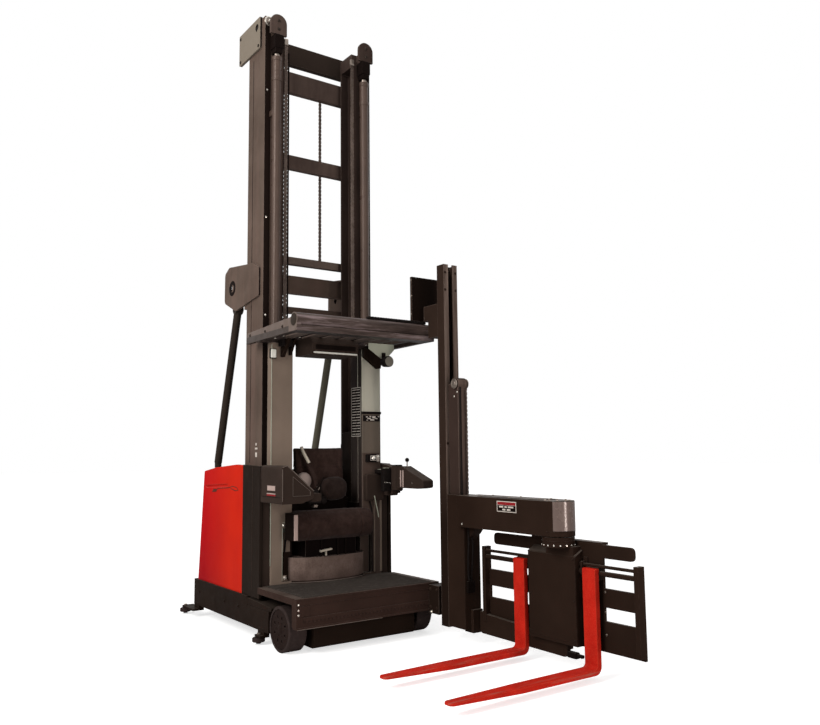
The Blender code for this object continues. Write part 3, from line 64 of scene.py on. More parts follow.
def at(x, y, z):
    """A place in the truck's own frame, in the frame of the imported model."""
    return Vector((x + SHIFT_X, y + SHIFT_Y, z))


def camera():
    """Camera at the photograph's viewpoint, from lines measured in it."""
    yaw, pitch, roll = (math.radians(v) for v in VIEW_ANGLES)
    d = Vector((math.cos(yaw) * math.cos(pitch), math.sin(yaw) * math.cos(pitch), math.sin(pitch)))
    r = Vector((math.sin(yaw), -math.cos(yaw), 0.0))
    u = r.cross(d)
    right = r * math.cos(roll) + u * math.sin(roll)
    up = -r * math.sin(roll) + u * math.cos(roll)
    data = bpy.data.cameras.new("camera")
    data.sensor_fit = "HORIZONTAL"
    data.sensor_width = SENSOR
    data.lens = FOCAL / PHOTO_WIDTH * SENSOR
    obj = bpy.data.objects.new("camera", data)
    rows = Matrix((right, up, -d)).transposed().to_4x4()
    rows.translation = at(*VIEW_PLACE)
    obj.matrix_world = rows
    bpy.context.scene.collection.objects.link(obj)
    bpy.context.scene.camera = obj


camera()


# materials
def srgb(r, g, b):
    """Linear colour of an 8-bit screen colour."""
    out = []
    for v in (r, g, b):
        v = v / 255.0
        out.append(v / 12.92 if v <= 0.04045 else ((v + 0.055) / 1.055) ** 2.4)
    return tuple(out) + (1.0,)


def scaled(colour, by, lift=0.0):
    return tuple(min(1.0, v * by + lift) for v in colour[:3]) + (1.0,)


def feed(tree, socket, value):
    if isinstance(value, bpy.types.NodeSocket):
        tree.links.new(value, socket)
    else:
        socket.default_value = value


def add_node(tree, kind, inputs=(), **values):
    """A node with its settings and inputs, each input a value or another node's output."""
    made = tree.nodes.new(kind)
    for key, value in values.items():
        setattr(made, key, value)
    for key, value in dict(inputs).items():
        feed(tree, made.inputs[key], value)
    return made


class Nodes:
    """Small helper that adds linked shader nodes to a material."""

    def __init__(self, name):
        self.mat = bpy.data.materials.new(name)
        self.mat.use_nodes = True
        self.tree = self.mat.node_tree
        self.shader = self.tree.nodes["Principled BSDF"]
        self.place = self.add("ShaderNodeTexCoord").outputs["Object"]
        self.finish({"Specular IOR Level": 0.015, "Specular Tint": (1.0, 0.84, 0.76, 1.0)})

    def add(self, kind, inputs=(), **values):
        return add_node(self.tree, kind, inputs, **values)

    def finish(self, values):
        """Set or link the shader's inputs and give the material."""
        for key, value in values.items():
            feed(self.tree, self.shader.inputs[key], value)
        return self.mat

    def split(self, vector=None):
        """The x, y and z of a vector, or of the place on the piece."""
        vector = self.place if vector is None else vector
        return self.add("ShaderNodeSeparateXYZ", {"Vector": vector}).outputs

    def facing(self):
        """The x, y and z of the surface's normal."""
        return self.split(self.add("ShaderNodeNewGeometry").outputs["Normal"])

    def noise(self, scale, detail=4.0, rough=0.55, stretch=None):
        source = self.place
        if stretch:
            source = self.add("ShaderNodeMapping", {"Vector": source, "Scale": stretch}).outputs[0]
        values = {"Vector": source, "Scale": scale, "Detail": detail, "Roughness": rough}
        return self.add("ShaderNodeTexNoise", values).outputs["Fac"]

    def ramp(self, fac, stops, interpolation="LINEAR"):
        made = self.add("ShaderNodeValToRGB", {"Fac": fac})
        band = made.color_ramp
        band.interpolation = interpolation
        while len(band.elements) < len(stops):
            band.elements.new(0.5)
        for element, (place, colour) in zip(band.elements, stops):
            element.position = place
            element.color = colour
        return made.outputs["Color"]

    def mix(self, fac, a, b):
        return self.add("ShaderNodeMix", {0: fac, 6: a, 7: b}, data_type="RGBA").outputs[2]

    def maths(self, operation, a, b=0.0, clamp=False):
        return self.add("ShaderNodeMath", {0: a, 1: b}, operation=operation, use_clamp=clamp).outputs[0]

    def times(self, a, b, clamp=False):
        return self.maths("MULTIPLY", a, b, clamp)

    def ranged(self, value, low, high, to_low, to_high):
        values = {"Value": value, "From Min": low, "From Max": high, "To Min": to_low, "To Max": to_high}
        return self.add("ShaderNodeMapRange", values).outputs[0]

    def edge(self, radius=0.006):
        """1 along sharp edges and 0 on open faces, with the rounded normal."""
        soft = self.add("ShaderNodeBevel", {"Radius": radius}, samples=6).outputs[0]
        normal = self.add("ShaderNodeNewGeometry").outputs["Normal"]
        dot = self.add("ShaderNodeVectorMath", {0: soft, 1: normal}, operation="DOT_PRODUCT")
        return self.ranged(dot.outputs["Value"], 0.995, 0.80, 0.0, 1.0), soft

    def bump(self, height, strength, distance, normal=None):
        values = {"Height": height, "Strength": strength, "Distance": distance}
        if normal is not None:
            values["Normal"] = normal
        return self.add("ShaderNodeBump", values).outputs[0]

    def worn(self, base, bare, edge_wear_and_highlight, rough=(0.38, 0.54), blotch=(14.0, 5.0), peel=(420.0, 1.5, 0.10),
             radius=0.006):
        """Finish with edges lightened towards bare, partly as wear and partly as a painted edge highlight,
        blotched roughness and orange peel.
        """
        edge, soft = self.edge(radius)
        blotch = self.noise(*blotch) if isinstance(blotch, tuple) else blotch
        # edges lightened towards bare: partly wear, partly a painted highlight along them
        return self.finish({"Base Color": self.mix(self.times(edge, edge_wear_and_highlight), base, bare),
                            "Roughness": self.ranged(blotch, 0.3, 0.7, *rough),
                            "Normal": self.bump(self.noise(*peel[:2]), peel[2], 0.002, soft)})


COAT_ROUGH = 0.18


def paint(name, colour, rough=0.42, vary=0.16, edge_wear_and_highlight=0.5, edge_wear_and_highlight_colour=None, coat=0.0, dust=0.15, shine=0.015):
    """Sprayed machine paint: orange peel, slight mottling, dust on top faces and bright edges, partly worn
    and partly a painted edge highlight.
    """
    m = Nodes(name)
    dark = scaled(colour, 1.0 - vary)
    light = scaled(colour, 1.0 + vary)
    base = m.ramp(m.noise(2.3, 3.0), [(0.32, dark), (0.68, light)])
    streak = m.noise(7.0, 5.0, 0.6, (1.0, 1.0, 0.12))
    base = m.mix(m.ranged(streak, 0.45, 0.75, 0.0, 0.22), base, dark)
    base = m.mix(m.ranged(m.noise(260.0, 2.0), 0.40, 0.66, 0.0, 0.16), base, light)
    edge, soft = m.edge()
    breaks = m.ranged(m.noise(38.0, 4.0), 0.38, 0.62, 0.15, 1.0)
    # edges lightened: partly wear, partly a painted highlight along them
    rubbed = m.times(m.times(edge, breaks, True), edge_wear_and_highlight, True)
    base = m.mix(rubbed, base, edge_wear_and_highlight_colour or scaled(colour, 3.0, 0.03))
    if dust > 0.0:
        patches = m.ranged(m.noise(5.0, 6.0), 0.3, 0.7, 0.3, 1.0)
        film = m.times(m.ranged(m.facing()[2], 0.55, 1.0, 0.0, dust), patches)
        base = m.mix(film, base, srgb(150, 138, 128))
    return m.finish({"Base Color": base, "Specular IOR Level": shine,
                     "Coat Weight": coat, "Coat Roughness": COAT_ROUGH,
                     "Roughness": m.ranged(m.noise(14.0, 5.0), 0.3, 0.7, rough - 0.07, rough + 0.10),
                     "Normal": m.bump(m.noise(420.0, 1.5), 0.10, 0.002, soft)})


def rubber(name, colour, rough=0.72, grain=240.0):
    """Moulded rubber or plastic with a fine grain and scuffs."""
    m = Nodes(name)
    scuff = m.noise(26.0, 6.0, 0.7)
    cells = m.add("ShaderNodeTexVoronoi", {"Vector": m.place, "Scale": grain}).outputs["Distance"]
    base = m.mix(m.ranged(scuff, 0.50, 0.72, 0.0, 0.55), colour, scaled(colour, 1.7, 0.004))
    return m.finish({"Base Color": base, "Normal": m.bump(cells, 0.22, 0.001, m.edge(0.003)[1]),
                     "Roughness": m.ranged(scuff, 0.3, 0.7, rough + 0.06, rough - 0.10)})


def steel(name, colour, rough=0.30, dirt=0.5):
    """Bare or oiled steel with drawn grain and dark grime."""
    m = Nodes(name)
    lines = m.noise(180.0, 3.0, 0.6, (1.0, 1.0, 0.05))
    dark = scaled(colour, 0.30)
    base = m.mix(m.ranged(m.noise(18.0, 6.0, 0.65), 0.42, 0.70, 0.0, dirt), colour, dark)
    base = m.mix(m.ranged(lines, 0.35, 0.65, 0.0, 0.18), base, dark)
    return m.finish({"Base Color": base, "Metallic": 0.85, "Specular IOR Level": 0.5,
                     "Roughness": m.ranged(lines, 0.3, 0.7, rough - 0.08, rough + 0.12),
                     "Normal": m.bump(lines, 0.12, 0.001, m.edge(0.002)[1])})


def cloth(name, colour):
    """Heavy dark upholstery: crossed weave, soft sheen and rubbed patches."""
    m = Nodes(name)
    threads = 2600.0
    light = scaled(colour, 1.9, 0.006)
    x, y, z = m.split()[:3]
    warp = m.maths("SINE", m.times(y, threads))
    weft = m.maths("SINE", m.times(m.maths("ADD", x, z), threads))
    weave = m.times(warp, weft)
    base = m.mix(m.ranged(m.noise(16.0, 7.0, 0.7), 0.40, 0.70, 0.0, 0.75), colour, light)
    base = m.mix(m.ranged(weave, -1.0, 1.0, 0.0, 0.25), base, light)
    height = m.maths("ADD", m.times(weave, 0.25), m.noise(90.0, 3.0))
    return m.finish({"Base Color": base, "Roughness": 0.88, "Sheen Weight": 0.06, "Sheen Roughness": 0.5,
                     "Normal": m.bump(height, 0.35, 0.0015)})


def column_paint(name):
    """The left column: pale grey upper panel, a black band and a darker lower part."""
    m = Nodes(name)
    foot, height = 0.4, 2.1
    stops = [(max(0.0, (z - foot) / height), colour) for z, colour in (
        (foot, srgb(82, 68, 61)), (1.523, srgb(104, 93, 83)),
        (1.872, srgb(18, 14, 13)), (1.900, srgb(184, 180, 165)))]
    bands = m.ramp(m.ranged(m.split()[2], foot, foot + height, 0.0, 1.0), stops, "CONSTANT")
    # the inner face and the flange stay dark
    base = m.mix(m.ranged(m.facing()[0], 0.2, 0.6, 0.0, 1.0), srgb(40, 32, 30), bands)
    grime = m.noise(9.0, 5.0, 0.6, (1.0, 1.0, 0.25))
    base = m.mix(m.ranged(grime, 0.42, 0.70, 0.0, 0.28), base, srgb(70, 66, 60))
    return m.worn(base, srgb(190, 184, 172), 0.45, (0.42, 0.58), (30.0, 4.0), radius=0.004)


def drum_paint(name):
    """Worn grey drum, darker towards its foot, with the pedestal above its lid painted near black as shade
    under the seat cushion.
    """
    m = Nodes(name)
    z = m.split()[2]
    base = m.ramp(m.noise(8.0, 5.0, 0.6), [(0.30, srgb(96, 80, 73)), (0.70, srgb(122, 104, 96))])
    base = m.mix(m.ranged(m.noise(70.0, 4.0), 0.45, 0.70, 0.0, 0.30), base, srgb(66, 54, 49))
    base = m.mix(m.ranged(z, 0.560, 0.450, 0.0, 0.45), base, srgb(56, 45, 41))
    # painted shade: the pedestal under the seat cushion turned near black
    base = m.mix(m.ranged(z, 0.6500, 0.6530, 0.0, 1.0), base, srgb(17, 12, 11))
    return m.worn(base, srgb(150, 134, 124), 0.5, (0.34, 0.48), (20.0, 4.0), (380.0, 1.5, 0.12), 0.004)


def rail_paint(name):
    """Outer rails: lit brown flanks, forward-facing faces of the channels painted near black as shade, and
    paler head plates.
    """
    m = Nodes(name)
    place = m.split()
    base = m.ramp(m.noise(2.3, 3.0), [(0.30, srgb(80, 67, 59)), (0.70, srgb(101, 86, 77))])
    streak = m.noise(9.0, 6.0, 0.65, (1.0, 1.0, 0.08))
    base = m.mix(m.ranged(streak, 0.42, 0.72, 0.0, 0.40), base, srgb(116, 92, 84))
    head = m.ranged(place[2], 5.16, 5.20, 0.0, 1.0)
    away = m.maths("ABSOLUTE", m.maths("ADD", place[1], -SHIFT_Y))
    base = m.mix(m.times(head, m.maths("GREATER_THAN", away, 0.566)), base, srgb(124, 114, 102))
    base = m.mix(m.times(head, m.maths("LESS_THAN", away, 0.46)), base, srgb(52, 43, 38))
    # painted shade: forward-facing faces of the rails' channels turned near black
    front = m.times(m.ranged(m.facing()[0], 0.5, 0.8, 0.0, 1.0), m.maths("GREATER_THAN", away, 0.50))
    base = m.mix(m.times(front, 0.93), base, srgb(16, 9, 8))
    return m.worn(base, srgb(158, 142, 132), 0.45)


def inner_paint(name):
    """Inner mast: right rail and ties in the lit tone, the left rail painted dark as shade and the lowest
    ties painted lighter as lit.
    """
    m = Nodes(name)
    place = m.split()
    base = m.ramp(m.noise(2.3, 3.0), [(0.30, srgb(74, 61, 56)), (0.70, srgb(94, 79, 72))])
    streak = m.noise(10.0, 6.0, 0.65, (1.0, 1.0, 0.08))
    base = m.mix(m.ranged(streak, 0.42, 0.72, 0.0, 0.45), base, srgb(52, 42, 38))
    across = m.maths("ADD", place[1], -SHIFT_Y)
    # painted shade: the left rail turned dark
    base = m.mix(m.ranged(across, 0.325, 0.345, 0.0, 0.55), base, srgb(30, 20, 17))
    # painted light: the lowest ties between the rails made lighter
    between = m.maths("LESS_THAN", m.maths("ABSOLUTE", across), 0.33)
    lit_low_tie = m.times(between, m.maths("LESS_THAN", place[2], 3.4))
    base = m.mix(m.times(lit_low_tie, 0.75), base, srgb(110, 96, 88))
    return m.worn(base, srgb(140, 122, 112), 0.40)


def handler_paint(name, side, low, high, plane):
    """Handler steelwork: dark flanks, darker towards the bottom, forward-facing faces painted near black as
    shade and streaked front lips painted lighter as lit from the front.
    """
    m = Nodes(name)
    place = m.split()
    base = m.mix(m.ranged(m.noise(5.0, 5.0), 0.35, 0.65, 0.0, 0.30), side, scaled(side, 0.6))
    base = m.mix(m.ranged(place[2], 1.25, 0.95, 0.0, 0.60), base, srgb(20, 12, 9))
    lip = m.ramp(m.noise(16.0, 6.0, 0.7, (1.0, 1.0, 0.05)), [(0.34, low), (0.66, high)])
    ahead = m.ranged(m.facing()[0], 0.5, 0.8, 0.0, 1.0)
    # painted shade: forward-facing faces turned near black
    base = m.mix(ahead, base, srgb(22, 15, 12))
    near = m.ranged(place[0], plane - 0.006 + SHIFT_X, plane - 0.003 + SHIFT_X, 0.0, 1.0)
    # painted light: the front lips at the front plane made lighter
    base = m.mix(m.times(ahead, near), base, lip)
    return m.worn(base, srgb(142, 124, 114), 0.50, (0.36, 0.50))


def guard_paint(name):
    """Overhead guard: streaked dark tube and beams, side-facing faces painted paler as lit, and the
    underside painted near black as shade.
    """
    m = Nodes(name)
    facing, place = m.facing(), m.split()
    streak = m.noise(16.0, 7.0, 0.7, (1.0, 0.07, 1.0))
    base = m.ramp(streak, [(0.36, srgb(34, 25, 22)), (0.50, srgb(72, 60, 56)), (0.66, srgb(140, 124, 124))])
    # painted light: side-facing faces made paler
    base = m.mix(m.ranged(m.maths("ABSOLUTE", facing[1]), 0.6, 0.8, 0.0, 0.85), base, srgb(98, 84, 76))
    # painted shade: the underside and the downward faces turned near black
    below = m.times(m.maths("LESS_THAN", place[2], 2.535), m.maths("LESS_THAN", place[0], 0.13 + SHIFT_X))
    below = m.maths("MAXIMUM", m.times(below, 0.65), m.ranged(facing[2], -0.6, -0.9, 0.0, 0.80))
    base = m.mix(below, base, srgb(14, 10, 9))
    m.finish({"Specular IOR Level": 0.15})
    return m.worn(base, srgb(132, 118, 110), 0.45, (0.34, 0.50), peel=(300.0, 2.0, 0.16))


def cover_paint(name):
    """Gloss red moulded cover: crimson at its foot and tail, towards orange at its front."""
    m = Nodes(name)
    place = m.split()
    base = m.ramp(m.ranged(place[2], 0.35, 1.40, 0.0, 1.0), [
        (0.0, srgb(158, 14, 22)), (0.45, srgb(180, 16, 22)), (1.0, srgb(192, 22, 22))])
    ahead = m.ranged(place[0], -1.62 + SHIFT_X, -1.02 + SHIFT_X, 0.0, 0.9)
    behind = m.ranged(place[0], -1.742 + SHIFT_X, -1.748 + SHIFT_X, 0.0, 0.6)
    base = m.mix(ahead, base, srgb(202, 40, 20))
    base = m.mix(behind, base, srgb(196, 70, 84))
    base = m.mix(m.ranged(m.noise(3.0, 5.0), 0.40, 0.72, 0.0, 0.22), base, srgb(150, 16, 24))
    m.finish({"Specular IOR Level": 0.008})
    # edges lightened pink: partly wear, partly a painted highlight line along the top edge
    return m.worn(base, srgb(232, 110, 90), 0.30, (0.30, 0.42), (11.0, 4.0), (300.0, 2.0, 0.12), 0.010)


def fork_paint(name):
    """Satin orange-red fork paint, scraped bare and dusty where the blades carry loads."""
    m = Nodes(name)
    base = m.ramp(m.noise(6.0, 5.0), [(0.30, srgb(168, 26, 18)), (0.70, srgb(200, 38, 26))])
    scrape = m.noise(36.0, 6.0, 0.7, (1.0, 0.08, 1.0))
    low = m.ranged(m.split()[2], 0.10, 0.085, 0.0, 1.0)
    base = m.mix(m.times(low, m.ranged(scrape, 0.52, 0.70, 0.0, 0.55)), base, srgb(150, 110, 96))
    base = m.mix(m.ranged(m.noise(200.0, 2.0), 0.45, 0.70, 0.0, 0.20), base, srgb(230, 92, 66))
    return m.worn(base, srgb(236, 120, 88), 0.35, (0.46, 0.60), scrape, (340.0, 2.0, 0.14), 0.005)


def lens(name, colour):
    """Frosted lamp lens with moulded ribs."""
    m = Nodes(name)
    ribs = m.maths("SINE", m.times(m.split()[1], 900.0))
    base = m.mix(m.ranged(ribs, -1.0, 1.0, 0.0, 0.25), colour, scaled(colour, 0.6))
    return m.finish({"Base Color": base, "Roughness": 0.25, "Normal": m.bump(ribs, 0.3, 0.001)})


# sprayed paints: name, screen colour, roughness, variation and edge wear with painted edge highlight, then
# what else differs
PAINTS = {
    # lighter, glossier copy of the arm's paint for its round end: painted highlight
    "arm_end_highlight": ("lit_arm_end_brown", (96, 80, 74), 0.24, 0.10, 0.30, {"coat": 0.6, "dust": 0.0, "shine": 0.5}),
    "mast": ("mast_brown", (50, 43, 38), 0.42, 0.14, 0.60, {}),
    "body": ("frame_brown", (32, 23, 18), 0.48, 0.16, 0.40, {"dust": 0.10}),
    "deck": ("deck_brown", (52, 38, 33), 0.52, 0.18, 0.45, {"dust": 0.25}),
    "load": ("handler_brown", (42, 30, 24), 0.36, 0.18, 0.35, {"dust": 0.35}),
    "panel": ("moulded_black", (52, 42, 37), 0.54, 0.14, 0.30, {}),
    "shroud": ("shroud_black", (34, 27, 23), 0.54, 0.14, 0.20, {}),
    "post": ("post_brown", (124, 109, 97), 0.46, 0.14, 0.60, {"edge_wear_and_highlight_colour": srgb(168, 150, 140)}),
    "dark": ("deep_black", (22, 16, 14), 0.54, 0.20, 0.25, {}),
    "wheel": ("wheel_black", (38, 28, 25), 0.52, 0.15, 0.35, {}),
    "pale": ("pale_grey", (176, 178, 160), 0.50, 0.10, 0.20, {}),
    "cream": ("cream_plate", (196, 186, 170), 0.50, 0.10, 0.10, {"dust": 0.0}),
    "label_red": ("label_red", (140, 36, 40), 0.44, 0.10, 0.0, {"dust": 0.0}),
    "label_white": ("label_white", (206, 196, 186), 0.46, 0.10, 0.0, {"dust": 0.0}),
    "label_pink": ("label_pink", (176, 154, 146), 0.48, 0.12, 0.0, {"dust": 0.0}),
    "label_grey": ("label_grey", (120, 100, 94), 0.50, 0.20, 0.0, {"dust": 0.0}),
    # the far stay's paint: a lighter copy of the mast paint, painted light
    "stay": ("lit_stay_grey", (96, 92, 80), 0.42, 0.14, 0.45, {}),
    "handle": ("handle_brown", (92, 52, 44), 0.50, 0.20, 0.0, {"dust": 0.0}),
    "ball": ("reel_grey", (138, 124, 118), 0.55, 0.30, 0.10, {"dust": 0.0}),
    # pale strips: painted highlights on the console's edges and the beam's lip, and the trim at the drum's
    # foot
    "trim": ("trim_brown", (108, 97, 90), 0.46, 0.12, 0.10, {"dust": 0.0}),
    "cylinder": ("cylinder_brown", (72, 58, 51), 0.32, 0.18, 0.40, {"shine": 0.25}),
}
MATS = {key: paint(name, srgb(*colour), rough, vary, edge_wear_and_highlight, **more)
        for key, (name, colour, rough, vary, edge_wear_and_highlight, more) in PAINTS.items()}
MATS.update({
    "rail": rail_paint("rail_brown"),
    "inner": inner_paint("inner_brown"),
    "guard": guard_paint("guard_brown"),
    "drum": drum_paint("drum_grey"),
    "column": column_paint("column_grey"),
    "cover": cover_paint("cover_red"),
    "fork": fork_paint("fork_orange"),
    "handler": handler_paint("column_brown", srgb(50, 38, 32), srgb(62, 50, 44), srgb(122, 106, 97), 0.515),
    "aux": handler_paint("aux_brown", srgb(60, 47, 42), srgb(52, 41, 36), srgb(104, 88, 80), 0.648),
    "mat": rubber("mat_rubber", srgb(66, 60, 56), 0.78, 130.0),
    "tyre": rubber("tread_rubber", srgb(52, 43, 41), 0.70, 90.0),
    "plastic": rubber("black_plastic", srgb(26, 22, 21), 0.54, 400.0),
    "steel": steel("oiled_steel", srgb(150, 138, 128)),
    "bright": steel("bright_steel", srgb(228, 222, 212), 0.22, 0.15),
    "chain": steel("chain_steel", srgb(112, 98, 90), 0.36, 0.65),
    "cloth": cloth("upholstery", srgb(46, 33, 29)),
    # darker copy of the upholstery for the hip pad: painted shade
    "hip": cloth("shaded_hip_cloth", srgb(33, 24, 21)),
    "white_lens": lens("white_lens", srgb(226, 224, 214)),
    "grey_lens": lens("grey_lens", srgb(120, 116, 106)),
})

# the solids that wear each material
NODE_MATS = {
    # the far stay wears the lighter copy, painted light; the near stay wears the mast paint
    "rail": "mast_outer", "inner": "mast_inner", "mast": "mast_stay_right", "stay": "mast_stay_left",
    "handler": "handler_column", "aux": "aux_mast_inner", "guard": "overhead_guard",
    "cylinder": "lift_cylinder_left lift_cylinder_right",
    "body": "chassis_frame mast_carriage_left mast_carriage_right",
    "deck": "platform_floor platform_rack", "load": "reach_arm fork_carriage",
    "panel": "console_left console_right corner_panel_left corner_panel_right wrist_rest header_console",
    "shroud": "mast_shroud_left mast_shroud_right hood", "post": "platform_column_right",
    "drum": "seat_base",
    "dark": "recess_wall battery drive_fork drive_wheel_hub", "mat": "floor_mat",
    "tyre": "load_wheel_left_tread load_wheel_right_tread drive_wheel_tread guide_roller_front_left"
            " guide_roller_front_right guide_roller_rear_left guide_roller_rear_right",
    "wheel": "load_wheel_left_hub load_wheel_right_hub", "plastic": "cable_chain",
    "steel": "lift_rod_left lift_rod_right", "column": "platform_column_left", "cover": "tractor_cover",
    "fork": "fork_back fork_front", "cloth": "seat_cushion seat_back",
}
for key, names in NODE_MATS.items():
    for name in names.split():
        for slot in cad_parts[name].material_slots:
            slot.material = MATS[key]

# the record's slot of each listed material
SLOTS = {key: slot for slot, keys in {
    "paint_red": "cover handle label_red", "fork_red": "fork", "tyre": "tyre", "fabric": "cloth hip",
    "steel": "steel bright chain", "paint_black": "panel shroud dark mat wheel plastic",
    "grey_panel": "column white_lens grey_lens pale cream label_white label_pink label_grey trim ball",
}.items() for key in keys.split()}


# pieces
def finish_piece(name, bm, key, body, smooth=35.0):
    """Turn a bmesh in the truck's frame into a piece that rides on a body."""
    bmesh.ops.recalc_face_normals(bm, faces=bm.faces)
    for v in bm.verts:
        v.co.x += SHIFT_X
        v.co.y += SHIFT_Y
    mesh = bpy.data.meshes.new(name)
    bm.to_mesh(mesh)
    bm.free()
    mesh.materials.append(MATS[key])
    mesh.shade_smooth()
    mesh.set_sharp_from_angle(angle=math.radians(smooth))
    obj = bpy.data.objects.new(name, mesh)
    bpy.context.scene.collection.objects.link(obj)
    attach(obj, body)
    return obj


def build(name, key, shapes, body="platform", smooth=35.0, welded=True):
    """One piece of several shapes, each the function that adds it with that function's values."""
    bm = bmesh.new()
    for add, *values in shapes:
        add(bm, *values)
    if welded:
        bmesh.ops.remove_doubles(bm, verts=bm.verts, dist=1e-6)
    return finish_piece(name, bm, key, body, smooth)


def loft(bm, rows, capped=True):
    """Skin over rows of points, each row closed on itself."""
    rings = [[bm.verts.new(p) for p in row] for row in rows]
    if capped:
        bm.faces.new(rings[0])
        bm.faces.new(rings[-1])
    for one, two in zip(rings, rings[1:]):
        for i in range(len(one)):
            j = (i + 1) % len(one)
            bm.faces.new((one[i], one[j], two[j], two[i]))


def prism(bm, axis, outline, lo, hi, chamfer=0.0):
    """Extruded outline, its two ends chamfered by shrinking them about their middle."""
    def put(a, b, c):
        return {"x": (c, a, b), "y": (a, c, b), "z": (a, b, c)}[axis]

    ma = sum(p[0] for p in outline) / len(outline)
    mb = sum(p[1] for p in outline) / len(outline)
    rows = [(1.0, lo), (1.0, hi)]
    if chamfer:
        reach = max(max(abs(p[0] - ma), abs(p[1] - mb)) for p in outline)
        k = 1.0 - chamfer / reach
        step = chamfer if hi > lo else -chamfer
        rows = [(k, lo), (1.0, lo + step), (1.0, hi - step), (k, hi)]
    loft(bm, [[put(ma + (a - ma) * f, mb + (b - mb) * f, c) for a, b in outline] for f, c in rows])


def box(bm, x0, x1, y0, y1, z0, z1, chamfer=0.0015):
    prism(bm, "z", [(x0, y0), (x1, y0), (x1, y1), (x0, y1)], z0, z1, chamfer)


def bar(bm, axis, p, q, half, lo, hi, chamfer=0.0):
    """Flat bar from p to q, of a half width, between two depths."""
    p, q = Vector(p), Vector(q)
    d = (q - p).normalized()
    n = Vector((-d.y, d.x)) * half
    prism(bm, axis, [tuple(p + n), tuple(q + n), tuple(q - n), tuple(p - n)], lo, hi, chamfer)


def ring(a, b, r, count, start=0.0):
    """Points spaced evenly round a circle."""
    angles = [start + 2.0 * math.pi * i / count for i in range(count)]
    return [(a + r * math.cos(t), b + r * math.sin(t)) for t in angles]


def turned(bm, axis, a, b, profile, count=24):
    """Closed or axis-touching profile of (radius, along) turned about an axis."""
    rings = []
    for ca, sb in ring(0.0, 0.0, 1.0, count):
        row = []
        for r, along in profile:
            u, v = a + r * ca, b + r * sb
            row.append(bm.verts.new({"x": (along, u, v), "y": (u, along, v), "z": (u, v, along)}[axis]))
        rings.append(row)
    for one, two in zip(rings, rings[1:] + rings[:1]):
        for k in range(len(profile) - 1):
            bm.faces.new((one[k], one[k + 1], two[k + 1], two[k]))


def arc_band(name, key, body, middle, radii, sweep, profile, steps=40):
    """Strip round part of a circle or ellipse; the profile holds (outwards, z)."""
    rows = []
    for k in range(steps + 1):
        a = math.radians(sweep[0] + (sweep[1] - sweep[0]) * k / steps)
        rows.append([(middle[0] + (radii[0] + d) * math.cos(a), middle[1] + (radii[1] + d) * math.sin(a), z)
                     for d, z in profile])
    return build(name, key, [(loft, rows)], body, welded=False)


def rounded_rect(a0, a1, b0, b1, r, steps=4):
    out = []
    corners = ((a1 - r, b1 - r, 0.0), (a0 + r, b1 - r, 0.5), (a0 + r, b0 + r, 1.0), (a1 - r, b0 + r, 1.5))
    for ca, cb, start in corners:
        for k in range(steps + 1):
            t = math.pi * (start + 0.5 * k / steps)
            out.append((ca + r * math.cos(t), cb + r * math.sin(t)))
    return out


def bolt_head(bm, axis, a, b, base, sign, r=0.009, spin=0.2):
    """Washer and chamfered hexagon head, standing on a face at base."""
    washer = base + sign * 0.0015
    turned(bm, axis, a, b, [(0.0, base), (r * 1.45, base), (r * 1.45, washer), (0.0, washer)], 16)
    prism(bm, axis, ring(a, b, r, 6, spin), base + sign * 0.0014, base + sign * r * 0.75, 0.0012)


def bolts(name, key, places, body="platform"):
    """Bolts as one piece: (axis, a, b, base, sign, radius) each."""
    heads = [(bolt_head, *place, 0.2 + 0.5 * k) for k, place in enumerate(places)]
    return build(name, key, heads, body, 30.0)


def tube(name, key, points, r, count=12, samples=8, body="platform"):
    """Smooth round tube through points in the truck's frame."""
    pts = [Vector(p) for p in points]
    path = []
    n = len(pts)
    for i in range(n - 1):
        p0, p1, p2, p3 = pts[max(i - 1, 0)], pts[i], pts[i + 1], pts[min(i + 2, n - 1)]
        for k in range(samples):
            t = k / samples
            path.append(0.5 * ((2 * p1) + (p2 - p0) * t + (2 * p0 - 5 * p1 + 4 * p2 - p3) * t * t
                               + (3 * p1 - p0 - 3 * p2 + p3) * t ** 3))
    path.append(pts[-1])
    side = (path[1] - path[0]).orthogonal().normalized()
    rows = []
    for i, p in enumerate(path):
        along = (path[min(i + 1, len(path) - 1)] - path[max(i - 1, 0)]).normalized()
        side = (side - along * side.dot(along)).normalized()
        other = along.cross(side)
        rows.append([p + (side * ca + other * sa) * r for ca, sa in ring(0.0, 0.0, 1.0, count)])
    return build(name, key, [(loft, rows)], body, welded=False)


def leaf_chain(name, body, x, y, z0, z1, pitch=0.0190, leaves=4, plate=0.0155, gap=0.0034):
    """Leaf chain hanging straight: waisted plates side by side, with a pin through each joint."""
    half = plate / 2.0
    shape = [(half * c * (0.80 if abs(c) > 0.9 else 1.0), s) for c, s in ring(0.0, 0.0, 1.0, 12)]
    edge = y - leaves * gap / 2.0
    shapes = []
    for i in range(int((z1 - z0) / pitch)):
        foot = z0 + i * pitch
        outline = [(x + c, foot + pitch / 2.0 + s * (pitch / 2.0 + half * 0.75)) for c, s in shape]
        for k in range(i % 2, leaves, 2):
            start = edge + k * gap + 0.0003
            shapes.append((prism, "y", outline, start, start + gap - 0.0006))
        shapes.append((prism, "y", ring(x, foot, half * 0.36, 6), edge - 0.001, edge + leaves * gap + 0.001))
    return build(name, "chain", shapes, body, 30.0, welded=False)


def shorten(piece):
    """Give a hanging run its own copy of its mesh."""
    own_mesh(piece)


def plates(name, key, y0, y1, places, body="platform"):
    """Thin plates on a flank: (x0, x1, z0, z1) each, between two depths."""
    return build(name, key, [(box, x0, x1, y0, y1, z0, z1, 0.0001) for x0, x1, z0, z1 in places], body)


